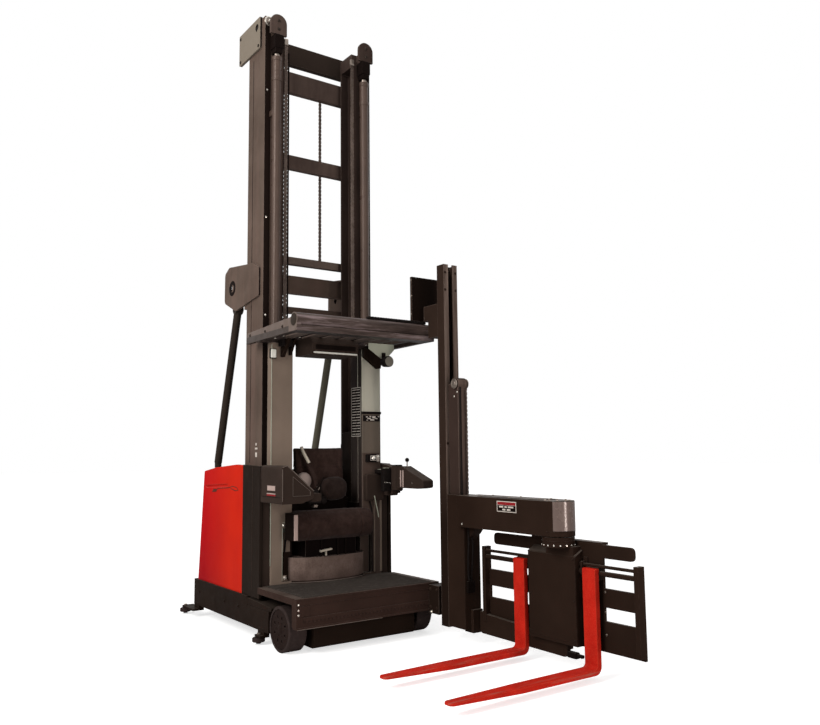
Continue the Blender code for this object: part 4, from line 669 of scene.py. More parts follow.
# places that several pieces share: the handle in the red cover's flank, the axis of the fork carriage's pin,
# the load wheels' axle and outer face, the front of the platform's columns, the forks' middles, half width
HANDLE_GRIP = [(-1.456, 1.176), (-1.356, 1.182), (-1.318, 1.208), (-1.416, 1.208)]
HANDLE_LOOP = [(-1.330, 1.214), (-1.050, 1.229), (-0.990, 1.244), (-0.890, 1.236), (-0.852, 1.214),
               (-0.920, 1.206), (-1.020, 1.224)]
PIN_X, PIN_Y = 1.700, 0.660
AXLE_Z = 0.176
WHEEL_FACE = 0.668
COLUMN_FACE = -0.4198
FORKS_X = (1.285, 1.976)
FORK_HALF = 0.057


def mast_details():
    """Chains, head rollers, hoses and fasteners of the mast."""
    for side, s in SIDES:
        chain = leaf_chain("mast_chain_" + side, "lift_mast", -0.58, s * 0.354, 2.665, 5.285,
                           leaves=8, gap=0.004)
        shorten(chain)
        build("chain_anchor_" + side, "steel", [
            (box, -0.59, -0.57, s * 0.354 - 0.018, s * 0.354 + 0.018, 5.27, 5.33)], "lift_mast")
        # hose beside the chain
        if s < 0:
            hose = tube("mast_hose", "dark", [(-0.58, -0.327, 5.2), (-0.58, -0.327, 4.4),
                (-0.58, -0.327, 3.5), (-0.58, -0.327, 2.665)], 0.008, 12, 6, body="lift_mast")
            shorten(hose)
        # dark guard round the head of the rod
        build("rod_guard_" + side, "dark", [
            (box, -0.588, -0.494, s * 0.422, s * 0.508, 5.18, 5.3085, 0.003),
            (box, -0.584, -0.498, s * 0.43, s * 0.5, 5.135, 5.1795, 0.003)], "lift_mast")
        # guide roller at the head of the outer rail, with its retaining ring
        y = s * 0.522
        build("head_roller_" + side, "steel", [
            (turned, "x", y, 5.452, [(0.0, -0.5895), (0.046, -0.5895), (0.048, -0.5875), (0.048, -0.5805),
             (0.046, -0.5785), (0.036, -0.5785), (0.034, -0.5805), (0.016, -0.5805), (0.016, -0.5745),
             (0.0, -0.5745)], 28)], "chassis")
        build("head_roller_pin_" + side, "bright", [
            (turned, "x", y, 5.452, [(0.0, -0.5743), (0.013, -0.5743), (0.013, -0.57), (0.009, -0.569),
             (0.0, -0.569)], 16),
            (turned, "x", y, 5.452, [(0.0365, -0.5783), (0.0455, -0.5783), (0.0455, -0.5765),
             (0.0365, -0.5765)], 28)], "chassis")
        bolts("rail_bolts_" + side, "bright", [("x", s * 0.535, z, -0.59, 1.0, 0.006)
            for z in (4.8, 3.62, 2.74)], "chassis")
        bolts("cap_bolts_" + side, "mast", [("x", s * 0.465, z, -0.503, 1.0, 0.01) for z in (5.36, 5.44)],
            "lift_mast")
        # bracket bolts on the outside of the head plate, and a dark collar round the ear's hole
        bolts("bracket_bolts_" + side, "mast", [("y", x, z, s * 0.58, s, 0.011) for x, z in ((-1.09, 5.25),
            (-1.09, 5.48), (-0.69, 5.25))], "chassis")
        build("ear_collar_" + side, "dark", [
            (turned, "y", -1.222, 3.076, [(0.036, s * 0.5782), (0.072, s * 0.5782), (0.072, s * 0.5795),
             (0.036, s * 0.58), (0.036, s * 0.5782)], 32)], "chassis")
        # seam strip along the outer rail
        build("rail_groove_" + side, "dark", [
            (box, -0.834, -0.826, s * 0.5602, s * 0.561, 1.45, 5.16, 0.0002)], "chassis")
        # nut of the stay's pin
        x, z = -1.215, 2.88
        build("stay_nut_" + side, "steel", [
            (turned, "y", x, z, [(0.0, s * 0.48), (0.03, s * 0.48), (0.034, s * 0.4835), (0.0, s * 0.4836)],
             20),
            (prism, "y", ring(x, z, 0.018, 6), s * 0.4801, s * 0.47, 0.0015)], "chassis")
    leaf_chain("centre_chain", "lift_mast", -0.9, 0.178, 3.3, 5.06, leaves=7, plate=0.015, gap=0.0038)
    # round hole in each head plate, drawn as a dark disc of painted shade
    for side, s in SIDES:
        build("head_hole_shade_" + side, "dark", [
            (turned, "y", -0.726, 5.44, [(0.0, s * 0.5802), (0.03, s * 0.5802), (0.03, s * 0.5812),
             (0.026, s * 0.5812), (0.024, s * 0.5806), (0.0, s * 0.5806)], 28)], "chassis")
    # small blank plates on the right outer rail
    build("rail_plates", "label_white", [
        (box, x0, x1, -0.5602, -0.5612, z0, z1, 0.0003)
        for x0, x1, z0, z1 in ((-0.712, -0.688, 1.6, 1.622), (-0.722, -0.672, 1.566, 1.582),
                               (-0.716, -0.68, 1.5, 1.54))],
         "chassis")
    # grip and loop in the cover's handle slot
    for side, s in SIDES:
        y0, y1 = s * 0.6552, s * 0.6562
        build("cover_handle_" + side, "handle", [
            (prism, "y", HANDLE_GRIP, y0, y1, 0.0003),
            *[(bar, "y", p, q, 0.0035, y0, y1) for p, q in zip(HANDLE_LOOP, HANDLE_LOOP[1:])]],
            "chassis", welded=False)


def guard_details():
    """Overhead guard: what hangs below it, and its fasteners."""
    # lamps, brackets and console trim below the roof
    build("dome_lamp", "white_lens", [
        (prism, "x", rounded_rect(-0.569, -0.522, 2.342, 2.414, 0.006), -0.418, -0.392, 0.003)])
    build("lamp_housing", "plastic", [
        (box, -0.4195, -0.402, -0.574, -0.517, 2.336, 2.42, 0.002),
        (box, -0.4, -0.33, -0.5, -0.4, 2.44, 2.5, 0.004)])
    # sloping braces between the right column and the roof
    build("roof_brace_right", "body", [
        (prism, "y", [(-0.416, 2.352), (-0.395, 2.352), (-0.275, 2.502), (-0.416, 2.502)], -0.47, -0.44,
         0.002),
        (prism, "y", [(-0.416, 2.372), (-0.395, 2.372), (-0.3, 2.502), (-0.416, 2.502)], -0.395, -0.375,
         0.002)])
    build("lamp_bracket", "pale", [
        (prism, "x", [(0.287, 2.503), (0.561, 2.503), (0.561, 2.452), (0.47, 2.36), (0.44, 2.356),
         (0.287, 2.452)], -0.206, -0.2, 0.001)])
    build("work_lamp", "plastic", [
        (turned, "x", 0.44, 2.335, [(0.0, -0.196), (0.03, -0.196), (0.044, -0.18), (0.05, -0.12),
         (0.05, -0.105), (0.046, -0.1), (0.0, -0.1)], 28),
        (box, -0.199, -0.18, 0.425, 0.455, 2.34, 2.42)])
    build("work_lamp_lens", "grey_lens", [
        (turned, "x", 0.44, 2.335, [(0.0, -0.0995), (0.043, -0.0995), (0.038, -0.094), (0.0, -0.091)], 28)])
    # left arm that carries the console's bracket
    build("roof_brace_left", "body", [
        (prism, "x", [(0.352, 2.474), (0.556, 2.474), (0.556, 2.425), (0.535, 2.3), (0.5, 2.296),
         (0.352, 2.4)], -0.4195, -0.38, 0.003)])
    # pale strip light in the console's lower front edge
    build("console_strip", "white_lens", [
        (prism, "x", rounded_rect(-0.318, 0.108, 2.366, 2.38, 0.004), -0.1095, -0.1, 0.002)])
    build("console_face", "dark", [
        (prism, "x", rounded_rect(-0.3, 0.09, 2.4, 2.44, 0.006), -0.1045, -0.096, 0.002)])
    # fasteners of the roof's side plates, posts and slats
    bolts("guard_bolts", "mast", [("y", x, 2.545, s * 0.672, s, 0.009) for side, s in SIDES
        for x in (-0.6, -0.3, 0.02)])
    bolts("guard_post_bolts", "steel", [("y", -0.455, 2.49, s * 0.662, s, 0.008) for side, s in SIDES])
    bolts("slat_bolts", "bright", [("z", -0.36, y, 2.505, -1.0, 0.007)
        for y in (-0.55, -0.4, 0.2, 0.36)] + [("z", -0.2, y, 2.505, -1.0, 0.007) for y in (-0.55, -0.4)])
    # end caps of the front tube
    for side, s in SIDES:
        build("tube_cap_" + side, "mast", [
            (turned, "y", 0.215, 2.577, [(0.0, s * 0.67), (0.05, s * 0.67), (0.05, s * 0.6732),
             (0.044, s * 0.6745), (0.0, s * 0.6745)], 28)])
    # plates and rods inside the energy chain
    links = 22
    pitch = 0.584 / links
    build("chain_links", "plastic", [
        (box, x0, x1, y - half, y + half, z0, z1, chamfer)
        for y in [0.600 - (k + 0.31) * pitch for k in range(links)]
        for x0, x1, half, z0, z1, chamfer in (
            (0.1905, 0.193, 0.0075, 2.637, 2.655, 0.0006), (0.237, 0.2395, 0.0075, 2.637, 2.655, 0.0006),
            (0.2, 0.23, 0.006, 2.6565, 2.66, 0.0008))])


def column_details():
    """Fittings of the platform's two columns."""
    # pale edge strips and fasteners of the right column
    build("column_edge_right", "pale", [
        (box, COLUMN_FACE, -0.4183, -0.556, -0.549, 0.6, 2.46, 0.0005),
        (box, COLUMN_FACE, -0.4188, -0.4445, -0.44, 0.47, 0.94, 0.0003),
        (box, COLUMN_FACE, -0.4188, -0.44, -0.352, 0.9465, 0.95, 0.0003)])
    build("column_tabs_right", "post", [
        (box, -0.4235, -0.419, -0.4442, -0.412, 0.905, 0.945, 0.001),
        (box, -0.4235, -0.419, -0.4442, -0.402, 0.47, 0.512, 0.001)])
    bolts("column_bolts_right", "bright", [("x", -0.428, 0.926, -0.419, 1.0, 0.0105),
        ("x", -0.419, 0.492, -0.419, 1.0, 0.0105)])
    # lining, switch and hose seen in the column's opening
    build("opening_switch", "grey_lens", [
        (prism, "x", rounded_rect(-0.425, -0.385, 0.865, 0.905, 0.006), -0.4598, -0.45, 0.002)])
    build("opening_panel", "body", [(box, -0.4598, -0.454, -0.438, -0.352, 0.47, 0.7, 0.002)])
    tube("opening_hose", "plastic", [(-0.452, -0.405, 0.7), (-0.448, -0.4, 0.78), (-0.446, -0.392, 0.86),
        (-0.452, -0.385, 0.935)], 0.008, 10, 6)
    # left column: fittings below the grey panel
    build("column_band", "plastic", [
        (box, COLUMN_FACE, -0.413, 0.352, 0.556, 1.878, 1.9, 0.0015),
        (box, COLUMN_FACE, -0.417, 0.362, 0.548, 1.812, 1.866, 0.001)])
    build("column_plates", "label_white", [
        (box, -0.4168, -0.415, y - w / 2, y + w / 2, z - h / 2, z + h / 2, 0.0006)
        for y, z, w, h in ((0.402, 1.852, 0.02, 0.01), (0.44, 1.856, 0.02, 0.01), (0.478, 1.85, 0.034, 0.02),
         (0.425, 1.838, 0.034, 0.012), (0.46, 1.826, 0.044, 0.014), (0.505, 1.838, 0.022, 0.01),
         (0.53, 1.856, 0.016, 0.008), (0.405, 1.822, 0.018, 0.006))])
    build("column_valve", "plastic", [
        (prism, "x", rounded_rect(0.385, 0.52, 1.44, 1.512, 0.01), COLUMN_FACE, -0.385, 0.003),
        (prism, "x", rounded_rect(0.4, 0.475, 1.45, 1.502, 0.008), -0.3852, -0.362, 0.003)])
    build("column_valve_frame", "label_white", [
        (box, -0.3618, -0.36, 0.404, 0.471, 1.494, 1.5, 0.0005),
        (box, -0.3618, -0.36, 0.404, 0.471, 1.454, 1.458, 0.0005),
        (box, -0.3618, -0.36, 0.404, 0.409, 1.458, 1.494, 0.0005),
        (box, -0.3618, -0.36, 0.466, 0.471, 1.458, 1.494, 0.0005),
        (box, -0.3848, -0.38, 0.485, 0.512, 1.446, 1.506, 0.0015)])
    # pod that carries the operator's side controls
    build("side_pod", "panel", [
        (prism, "x", [(0.366, 1.1), (0.366, 1.318), (0.38, 1.336), (0.52, 1.326), (0.55, 1.3), (0.556, 1.12),
         (0.54, 1.096)], -0.4195, -0.37, 0.006)])
    tube("side_pod_trim", "pale", [(-0.3672, 0.448, 1.14), (-0.369, 0.462, 1.08), (-0.374, 0.484, 1.01),
        (-0.38, 0.5, 0.945)], 0.0035, 14, 6)
    build("column_valve_caps", "bright", [
        (turned, "x", 0.436, 1.476, [(0.0, -0.3618), (0.019, -0.3618), (0.019, -0.356), (0.013, -0.354),
         (0.0, -0.354)], 20),
        (turned, "x", 0.5, 1.49, [(0.0, -0.3848), (0.01, -0.3848), (0.01, -0.376), (0.0, -0.375)], 16)])
    # blank label with a pale frame on the column's inner face
    y = 0.3438
    x0, x1, z0, z1 = -0.592, -0.428, 1.675, 2.125
    build("column_label_back", "dark", [(box, x0, x1, y, y - 0.0006, z0, z1, 0.0002)])
    y -= 0.0007
    shapes = [(box, x0, x1, y, y - 0.0006, z0, z0 + 0.006, 0.0001),
              (box, x0, x1, y, y - 0.0006, z1 - 0.006, z1, 0.0001),
              (box, x0, x0 + 0.005, y, y - 0.0006, z0, z1, 0.0001),
              (box, x1 - 0.005, x1, y, y - 0.0006, z0, z1, 0.0001)]
    rows = 17
    for k in range(rows):
        z = z0 + 0.022 + k * (z1 - z0 - 0.044) / (rows - 1)
        wide = 0.052 + 0.014 * ((k * 7) % 3)
        for start, end in ((x0 + 0.016, x0 + 0.016 + wide), (x0 + 0.026 + wide, x1 - 0.014)):
            shapes.append((box, start, end, y, y - 0.0005, z - 0.0035, z + 0.0035, 0.0001))
    build("column_label_lines", "label_white", shapes)
    # posts and ribs at the foot of the left column
    build("column_ribs_left", "post", [
        (box, COLUMN_FACE, -0.413, 0.47, 0.482, 0.46, 1.12, 0.001),
        (box, COLUMN_FACE, -0.415, 0.535, 0.556, 0.46, 1.12, 0.001)])
    tube("column_cable_left", "plastic", [(-0.405, 0.42, 1.09), (-0.4, 0.43, 1.05), (-0.4, 0.44, 1.0),
        (-0.408, 0.446, 0.9), (-0.41, 0.446, 0.8), (-0.41, 0.446, 0.47)], 0.0065, 10, 8)
    # shroud seams
    build("shroud_seams", "panel", [
        (box, -0.56, -0.553, -0.6552, -0.6562, 0.4, 1.415, 0.0003),
        (box, -0.56, -0.553, 0.6552, 0.6562, 0.4, 1.415, 0.0003)], "chassis")


def floor_details():
    """Platform floor, mat and drum."""
    bolts("beam_bolts_front", "bright", [("x", s * 0.652, z, 0.28, 1.0, 0.0055) for s in (-1.0, 1.0)
        for z in (0.398, 0.358, 0.322)])
    # pale strip along the beam's foot: a painted highlight on its lower lip
    build("beam_lip_highlight", "trim", [
        (box, 0.266, 0.2816, -0.664, 0.1, 0.212, 0.2148, 0.0006),
        (box, 0.2802, 0.2822, -0.664, 0.1, 0.215, 0.228, 0.0006)])
    # bolted wear plate and seams on the beam's face
    build("beam_trim", "deck", [
        (box, 0.2802, 0.2835, -0.64, -0.56, 0.312, 0.385, 0.001),
        (box, 0.2802, 0.2822, -0.668, 0.668, 0.429, 0.44, 0.0006),
        (box, 0.2802, 0.2818, -0.668, 0.668, 0.388, 0.391, 0.0005),
        (box, 0.2802, 0.2845, -0.668, 0.56, 0.218, 0.23, 0.001)])
    # ribs of the floor mat
    ribs = [-0.262 + k * 0.0193 for k in range(27)]
    build("mat_ribs", "mat", [
        (prism, "y", [(x - 0.0036, 0.4472), (x + 0.0036, 0.4472), (x + 0.002, 0.4488), (x - 0.002, 0.4488)],
         -0.59, 0.59) for x in ribs], smooth=20.0)
    # pedal plate on top of the drum, and the pedestal's rods
    build("pedal_plate", "cream", [
        (prism, "x", [(-0.117, 0.686), (-0.005, 0.7), (-0.005, 0.714), (-0.117, 0.703)], -0.372, -0.34,
         0.001),
        (box, -0.366, -0.346, -0.066, -0.054, 0.6515, 0.69, 0.001)])
    # the rods in deep black: painted shade under the seat cushion
    build("pedestal_rods", "dark", [
        (prism, "z", ring(-0.362, y, 0.008, 10), 0.6515, 0.794, 0.001) for y in (-0.1, 0.06, 0.14)])
    # lip round the drum's top, and trim where the drum meets the floor mat
    arc_band("drum_lip", "drum", "platform", (-0.455, 0.0), (0.145, 0.37), (-90.0, 90.0), [(-0.004, 0.6513),
        (-0.004, 0.655), (-0.016, 0.655), (-0.016, 0.6513)])
    arc_band("drum_foot", "trim", "platform", (-0.455, 0.0), (0.1465, 0.3715), (-90.0, 90.0), [(0.0, 0.4473),
        (0.01, 0.4473), (0.007, 0.4515), (0.0, 0.4515)])


def console_details():
    """Pale edge strips painted as highlights, switches and grip of the two consoles."""
    # pale strips along the right console's edges and round a frame on its front: painted edge highlights
    a = Vector((-0.585, 1.4180))
    b = Vector((-0.395, 1.2525))
    along = (b - a).normalized()
    out = Vector((-along.y, along.x))
    if out.y < 0:
        out = -out
    strips = [((-0.610, 1.4335), (-0.372, 1.2265), 0.007), ((-0.652, 1.405), (-0.652, 1.150), 0.006),
              ((-0.652, 1.420), (-0.612, 1.4335), 0.006), ((-0.560, 1.345), (-0.405, 1.225), 0.003),
              ((-0.560, 1.345), (-0.560, 1.190), 0.003), ((-0.560, 1.190), (-0.405, 1.190), 0.003),
              ((-0.405, 1.225), (-0.405, 1.190), 0.003)]
    build("console_edge_highlights", "trim", [(bar, "x", p, q, width / 2.0, 0.0002, 0.0022) for p, q, width in strips],
          welded=False)
    build("console_tip", "panel", [
        (prism, "x", rounded_rect(-0.374, -0.286, 1.136, 1.206, 0.02), -0.3, -0.02, 0.008)])
    build("console_seams", "dark", [
        (box, -0.372, -0.024, -0.6582, -0.6592, 1.18, 1.184, 0.0003),
        (box, -0.372, -0.368, -0.6582, -0.6592, 1.184, 1.42, 0.0003)])
    plates("console_label", "label_pink", -0.6583, -0.659, [(-0.262, -0.118, 1.232, 1.272),
        (-0.272, -0.112, 1.203, 1.212)])
    plates("console_label_band", "label_red", -0.6583, -0.659, [(-0.272, -0.112, 1.19, 1.202)])
    # switch panel on the inner slope of the right console
    p, q = a + along * 0.090, a + along * 0.130
    outline = [tuple(p + out * d) for p, d in ((p, 0.0005), (q, 0.0005), (q, 0.009), (p, 0.006))]
    places = [-0.32 + 0.075 * k for k in range(4)]
    build("console_switches", "plastic", [(prism, "x", outline, x, x + 0.045, 0.001) for x in places],
          welded=False)
    # knob on its stem at the left console
    build("knob_stem", "steel", [
        (turned, "z", -0.083, 0.612, [(0.0, 1.38), (0.007, 1.38), (0.006, 1.395), (0.005, 1.44),
         (0.0, 1.441)], 14)])
    angles = [-math.pi / 2.0 + math.pi * k / 10 for k in range(1, 10)]
    profile = [(0.0185 * math.cos(t), 1.459 + 0.019 * math.sin(t)) for t in angles]
    build("knob", "plastic", [
        (turned, "z", -0.083, 0.612, [(0.0, 1.4395), *profile, (0.0, 1.4785)], 22)])
    # pale strips where the forearm rest meets the grip
    build("grip_strips", "label_pink", [
        (box, x - 0.008, x + 0.008, 0.5598, 0.556, 1.222, 1.368, 0.0015) for x in (-0.108, -0.072)])
    build("grip_caps", "plastic", [
        (turned, "z", -0.235, 0.61, [(0.0, 1.4042), (0.046, 1.4042), (0.046, 1.41), (0.038, 1.415),
         (0.0, 1.415)], 24),
        (turned, "z", -0.235, 0.61, [(0.0, 1.1898), (0.044, 1.1898), (0.044, 1.184), (0.036, 1.179),
         (0.0, 1.179)], 24)])
    # switch block with pale buttons inboard of the grip
    build("switch_block", "plastic", [
        (prism, "z", rounded_rect(-0.3, -0.25, 0.47, 0.553, 0.008), 1.18, 1.385, 0.004),
        (prism, "z", rounded_rect(-0.415, -0.3, 0.48, 0.55, 0.006), 1.34, 1.372, 0.003)])
    build("switch_buttons", "bright", [
        (turned, "x", 0.484 + 0.018 * k, 1.262 - 0.003 * k, [(0.0, -0.2499), (0.005, -0.2499),
         (0.0045, -0.2465), (0.0, -0.246)], 12) for k in range(4)])
    build("switch_plates", "pale", [
        (box, -0.395, -0.325, 0.5, 0.548, 1.3722, 1.376, 0.001),
        (box, -0.29, -0.262, 0.49, 0.54, 1.3852, 1.39, 0.001)])
    bolts("rest_screws", "steel", [("y", -0.12, 1.3, 0.56, -1.0, 0.006),
        ("y", 0.06, 1.26, 0.56, -1.0, 0.006)])


def handler_details():
    """Column and auxiliary mast of the load handler."""
    # leaf chain and hoses in front of the auxiliary mast
    chain = leaf_chain("aux_chain", "aux_mast", 0.6665, 0.690, 0.30, 2.060, pitch=0.0175, plate=0.0140)
    shorten(chain)
    tube("aux_hose", "plastic", [(0.662, 0.632, 2.06), (0.664, 0.63, 1.9), (0.664, 0.63, 1.2),
        (0.664, 0.63, 0.32)], 0.0075, 10, 8, body="aux_mast")
    wheel = [(0.0, -0.0003), (0.04, -0.0003), (0.042, 0.003), (0.03, 0.006), (0.018, 0.006), (0.016, 0.0095),
             (0.0, 0.0095)]
    build("aux_sheaves", "steel", [
        (turned, "y", 0.618, 2.09, [(r, y + s * d) for r, d in wheel], 28)
        for y, s in ((0.6035, -1.0), (0.7215, 1.0))], "aux_mast")
    bolts("aux_bolts", "bright", [("y", 0.64, 2.02, 0.615, -1.0, 0.006),
        ("y", 0.6, 1.985, 0.615, -1.0, 0.006)], "aux_mast")
    # blank plate and bolts on the column
    build("column_plate", "label_grey", [
        (box, 0.5152, 0.5172, 0.594, 0.616, 1.095, 1.13, 0.0005)], "handler")
    bolts("column_bolts", "load", [("x", y, z, 0.515, 1.0, 0.008) for y in (0.605, 0.718)
        for z in (3.05, 2.9, 1.6, 0.6)], "handler")
    bolts("carriage_bolts", "bright", [("y", 0.32, 0.209, 0.56, -1.0, 0.011)], "handler")
    bolts("carriage_bolts_dark", "load", [("y", x, z, 0.56, -1.0, 0.01) for x in (0.31, 0.395)
        for z in (0.25, 0.395)], "handler")
    bolts("upper_plate_bolts", "steel", [("y", 0.2025, z, 0.47, -1.0, 0.007) for z in (2.72, 2.88, 3.02)],
        "handler")


def arm_details():
    """Label, cover and hoses of the reach arm."""
    # blank red, black and white label on the arm
    y = 0.5398
    plates("arm_label", "label_white", y, y - 0.0006, [(1.188, 1.402, 1.08, 1.16)], body="reach_arm")
    plates("arm_label_band", "label_red", y - 0.0007, y - 0.0012, [(1.195, 1.395, 1.132, 1.154)],
        body="reach_arm")
    plates("arm_label_foot", "dark", y - 0.0007, y - 0.0012, [(1.195, 1.395, 1.086, 1.13)], body="reach_arm")
    plates("arm_label_marks", "label_white", y - 0.0013, y - 0.0017, [(1.215, 1.262, 1.112, 1.124),
        (1.275, 1.3, 1.112, 1.124), (1.312, 1.372, 1.112, 1.124), (1.25, 1.285, 1.092, 1.104),
        (1.3, 1.34, 1.092, 1.104)], body="reach_arm")
    # cap seam; round the arm's end a glossy sheet in a lighter copy of the arm's paint, a painted highlight
    # that also takes a real reflection of the strip lamp; top plate and its bolts
    arc_band("arm_seam", "load", "reach_arm", (PIN_X, PIN_Y), (0.12, 0.12), (-90.0, 90.0), [(-0.001, 0.9655),
        (0.0016, 0.9655), (0.0016, 0.9705), (-0.001, 0.9705)])
    arc_band("arm_end_highlight_sheet", "arm_end_highlight", "reach_arm", (PIN_X, PIN_Y), (0.12, 0.12), (-62.0, 90.0),
        [(0.0003, 0.9735), (0.002, 0.9735), (0.002, 1.176), (0.0003, 1.176)])
    build("arm_cover", "load", [
        (prism, "z", rounded_rect(0.9, 1.62, 0.575, 0.745, 0.03), 1.1802, 1.184, 0.001)], "reach_arm")
    bolts("arm_bolts", "steel", [("z", x, y, 1.184, 1.0, 0.007) for x in (0.94, 1.26, 1.58)
        for y in (0.6, 0.72)] + [("z", PIN_X + 0.085 * math.cos(a), PIN_Y + 0.085 * math.sin(a), 1.18, 1.0,
        0.008) for a in [math.pi * k / 4 for k in range(8)]], "reach_arm")
    bolts("arm_side_bolts", "bright", [("y", 0.765, 0.958, 0.54, -1.0, 0.006)], "reach_arm")
    # hydraulic hoses below the arm's root
    tube("arm_hose_a", "plastic", [(0.752, 0.618, 0.925), (0.76, 0.612, 0.8), (0.757, 0.606, 0.66),
        (0.752, 0.612, 0.55), (0.746, 0.622, 0.46)], 0.009, 12, 8, body="reach_arm")
    tube("arm_hose_b", "plastic", [(0.756, 0.64, 0.925), (0.772, 0.642, 0.8), (0.77, 0.64, 0.68),
        (0.76, 0.64, 0.6), (0.746, 0.642, 0.5)], 0.007, 12, 8, body="reach_arm")
    build("arm_manifold", "dark", [
        (box, 0.7402, 0.762, 0.596, 0.668, 0.415, 0.505, 0.003),
        (turned, "z", 0.7535, 0.618, [(0.0, 0.504), (0.011, 0.504), (0.011, 0.52), (0.0, 0.521)], 14)],
         "reach_arm")


def carriage_details():
    """Fasteners and covers of the fork carriage."""
    # ring of bolts at the slewing collar's foot
    shapes = []
    for k in range(16):
        a = 2.0 * math.pi * k / 16 + 0.1
        out = Vector((math.cos(a), math.sin(a), 0.0))
        side = Vector((-out.y, out.x, 0.0))
        mid = Vector((PIN_X, PIN_Y, 0.8745)) + out * 0.1145
        shapes.append((loft, [[mid + out * d + (side * u + Vector((0.0, 0.0, v))) * r
                               for u, v in ring(0.0, 0.0, 1.0, 6)]
                              for d, r in ((0.0, 0.0062), (0.0035, 0.0062), (0.0050, 0.0045))]))
    build("collar_bolts", "bright", shapes, "fork_carriage", welded=False)
    # machined ring between collar and arm
    build("collar_ring", "load", [
        (turned, "z", PIN_X, PIN_Y, [(0.1152, 0.9), (0.1172, 0.9), (0.1172, 0.906), (0.1152, 0.906),
         (0.1152, 0.9)], 48)], "fork_carriage")
    # sheet cover over the housing's face, with a turned lip at its top and screws
    build("housing_cover", "load", [
        (box, 1.392, 1.853, 0.656, 0.653, 0.215, 0.8, 0.001),
        (prism, "x", [(0.653, 0.8), (0.656, 0.8), (0.732, 0.8395), (0.73, 0.843)], 1.385, 1.86, 0.001)],
         "fork_carriage")
    bolts("housing_screws", "load", [("y", x, z, 0.653, -1.0, 0.0055) for x in (1.41, 1.835)
        for z in (0.235, 0.5, 0.78)], "fork_carriage")
    # backrest fasteners, weld beads and edge strips
    bolts("backrest_bolts_back", "bright", [("y", x, z, 0.735, -1.0, 0.0065) for x in (1.345, 1.375)
        for z in (0.3, 0.45, 0.58)], "fork_carriage")
    bolts("backrest_bolts_front", "steel", [("y", x, z, 0.735, -1.0, 0.0065) for x in (1.885, 2.046)
        for z in (0.3, 0.45, 0.58, 0.7) if not (x > 2.0 and 0.604 < z)], "fork_carriage")
    build("backrest_ribs", "load", [
        (box, 1.87, 1.905, 0.7348, 0.726, 0.205, 0.798, 0.001),
        (box, 1.352, 1.388, 0.7348, 0.726, 0.205, 0.798, 0.001)], "fork_carriage")
    # clamps that hold the rods at the carriage's middle
    build("rod_clamps", "load", [
        (prism, "x", rounded_rect(0.688, 0.733, 0.68, 0.772, 0.01), x - 0.008, x + 0.008, 0.0015)
        for x in (1.365, 1.88)], "fork_carriage")
    # foot roller blocks below the carriage
    build("foot_block", "dark", [
        (prism, "x", rounded_rect(0.69, 0.735, 0.098, 0.14, 0.008), 1.722, 1.8, 0.002),
        (prism, "x", rounded_rect(0.7, 0.728, 0.11, 0.132, 0.006), 1.795, 1.85, 0.002)], "fork_carriage")
    # fork keepers: a hook cap over the lower rod on each fork
    build("fork_keepers", "load", [
        (prism, "x", rounded_rect(0.693, 0.7315, 0.7362, 0.742, 0.002), x - 0.052, x + 0.052, 0.001)
        for x in FORKS_X], "fork_carriage")
    edges = [(x + s * FORK_HALF, s) for x in FORKS_X for s in (-1.0, 1.0)]
    build("hook_cheeks", "body", [
        (prism, "x", rounded_rect(0.692, 0.7315, 0.661, 0.7375, 0.004), edge + s * 0.0004, edge + s * 0.003,
         0.0005) for edge, s in edges], "fork_carriage")


def wheel_details():
    """Caps and nuts of the load wheels, and bolts along the frame."""
    for side, s in SIDES:
        y = s * WHEEL_FACE
        build("wheel_cap_" + side, "wheel", [
            (turned, "y", 0.0, AXLE_Z, [(0.0, y), (0.034, y), (0.034, y + s * 0.0016),
             (0.028, y + s * 0.0032), (0.0, y + s * 0.0032)], 28)], "load_wheel_" + side)
        build("wheel_nuts_" + side, "wheel", [
            (bolt_head, "y", a, b, y, s, 0.0045, 2.0 * math.pi * k / 6)
            for k, (a, b) in enumerate(ring(0.0, AXLE_Z, 0.055, 6))], "load_wheel_" + side)
    # bolts along the frame, and nuts over the guide rollers
    for side, s in SIDES:
        bolts("frame_bolts_" + side, "body", [("y", x, 0.235, s * WHEEL_FACE, s, 0.01)
            for x in (-1.7, -1.1, -0.8)], "chassis")
        for end, x in (("rear", -1.955), ("front", -0.355)):
            y = s * (0.705 if end == "rear" else 0.680)
            build("roller_nut_%s_%s" % (end, side), "steel", [
                (prism, "z", ring(x, y, 0.016, 6, 0.3), 0.08, 0.0925, 0.0015)], "chassis")


# soft goods
CLOTH = {"use_pressure": True, "uniform_pressure_force": 4.0, "mass": 0.3, "tension_stiffness": 18.0,
         "compression_stiffness": 18.0, "bending_stiffness": 2.0}
CLOTH_STEPS = 20


def inflated(obj):
    """Where the cloth's points stand after the simulation."""
    soft = obj.modifiers.new("soft", "CLOTH")
    for key, value in CLOTH.items():
        setattr(soft.settings, key, value)
    soft.settings.effector_weights.gravity = 0.0
    soft.point_cache.frame_start = 1
    soft.point_cache.frame_end = CLOTH_STEPS
    for step in range(1, CLOTH_STEPS + 1):
        bpy.context.scene.frame_set(step)
    graph = bpy.context.evaluated_depsgraph_get()
    moved = [v.co.copy() for v in obj.evaluated_get(graph).data.vertices]
    obj.modifiers.remove(soft)
    return moved


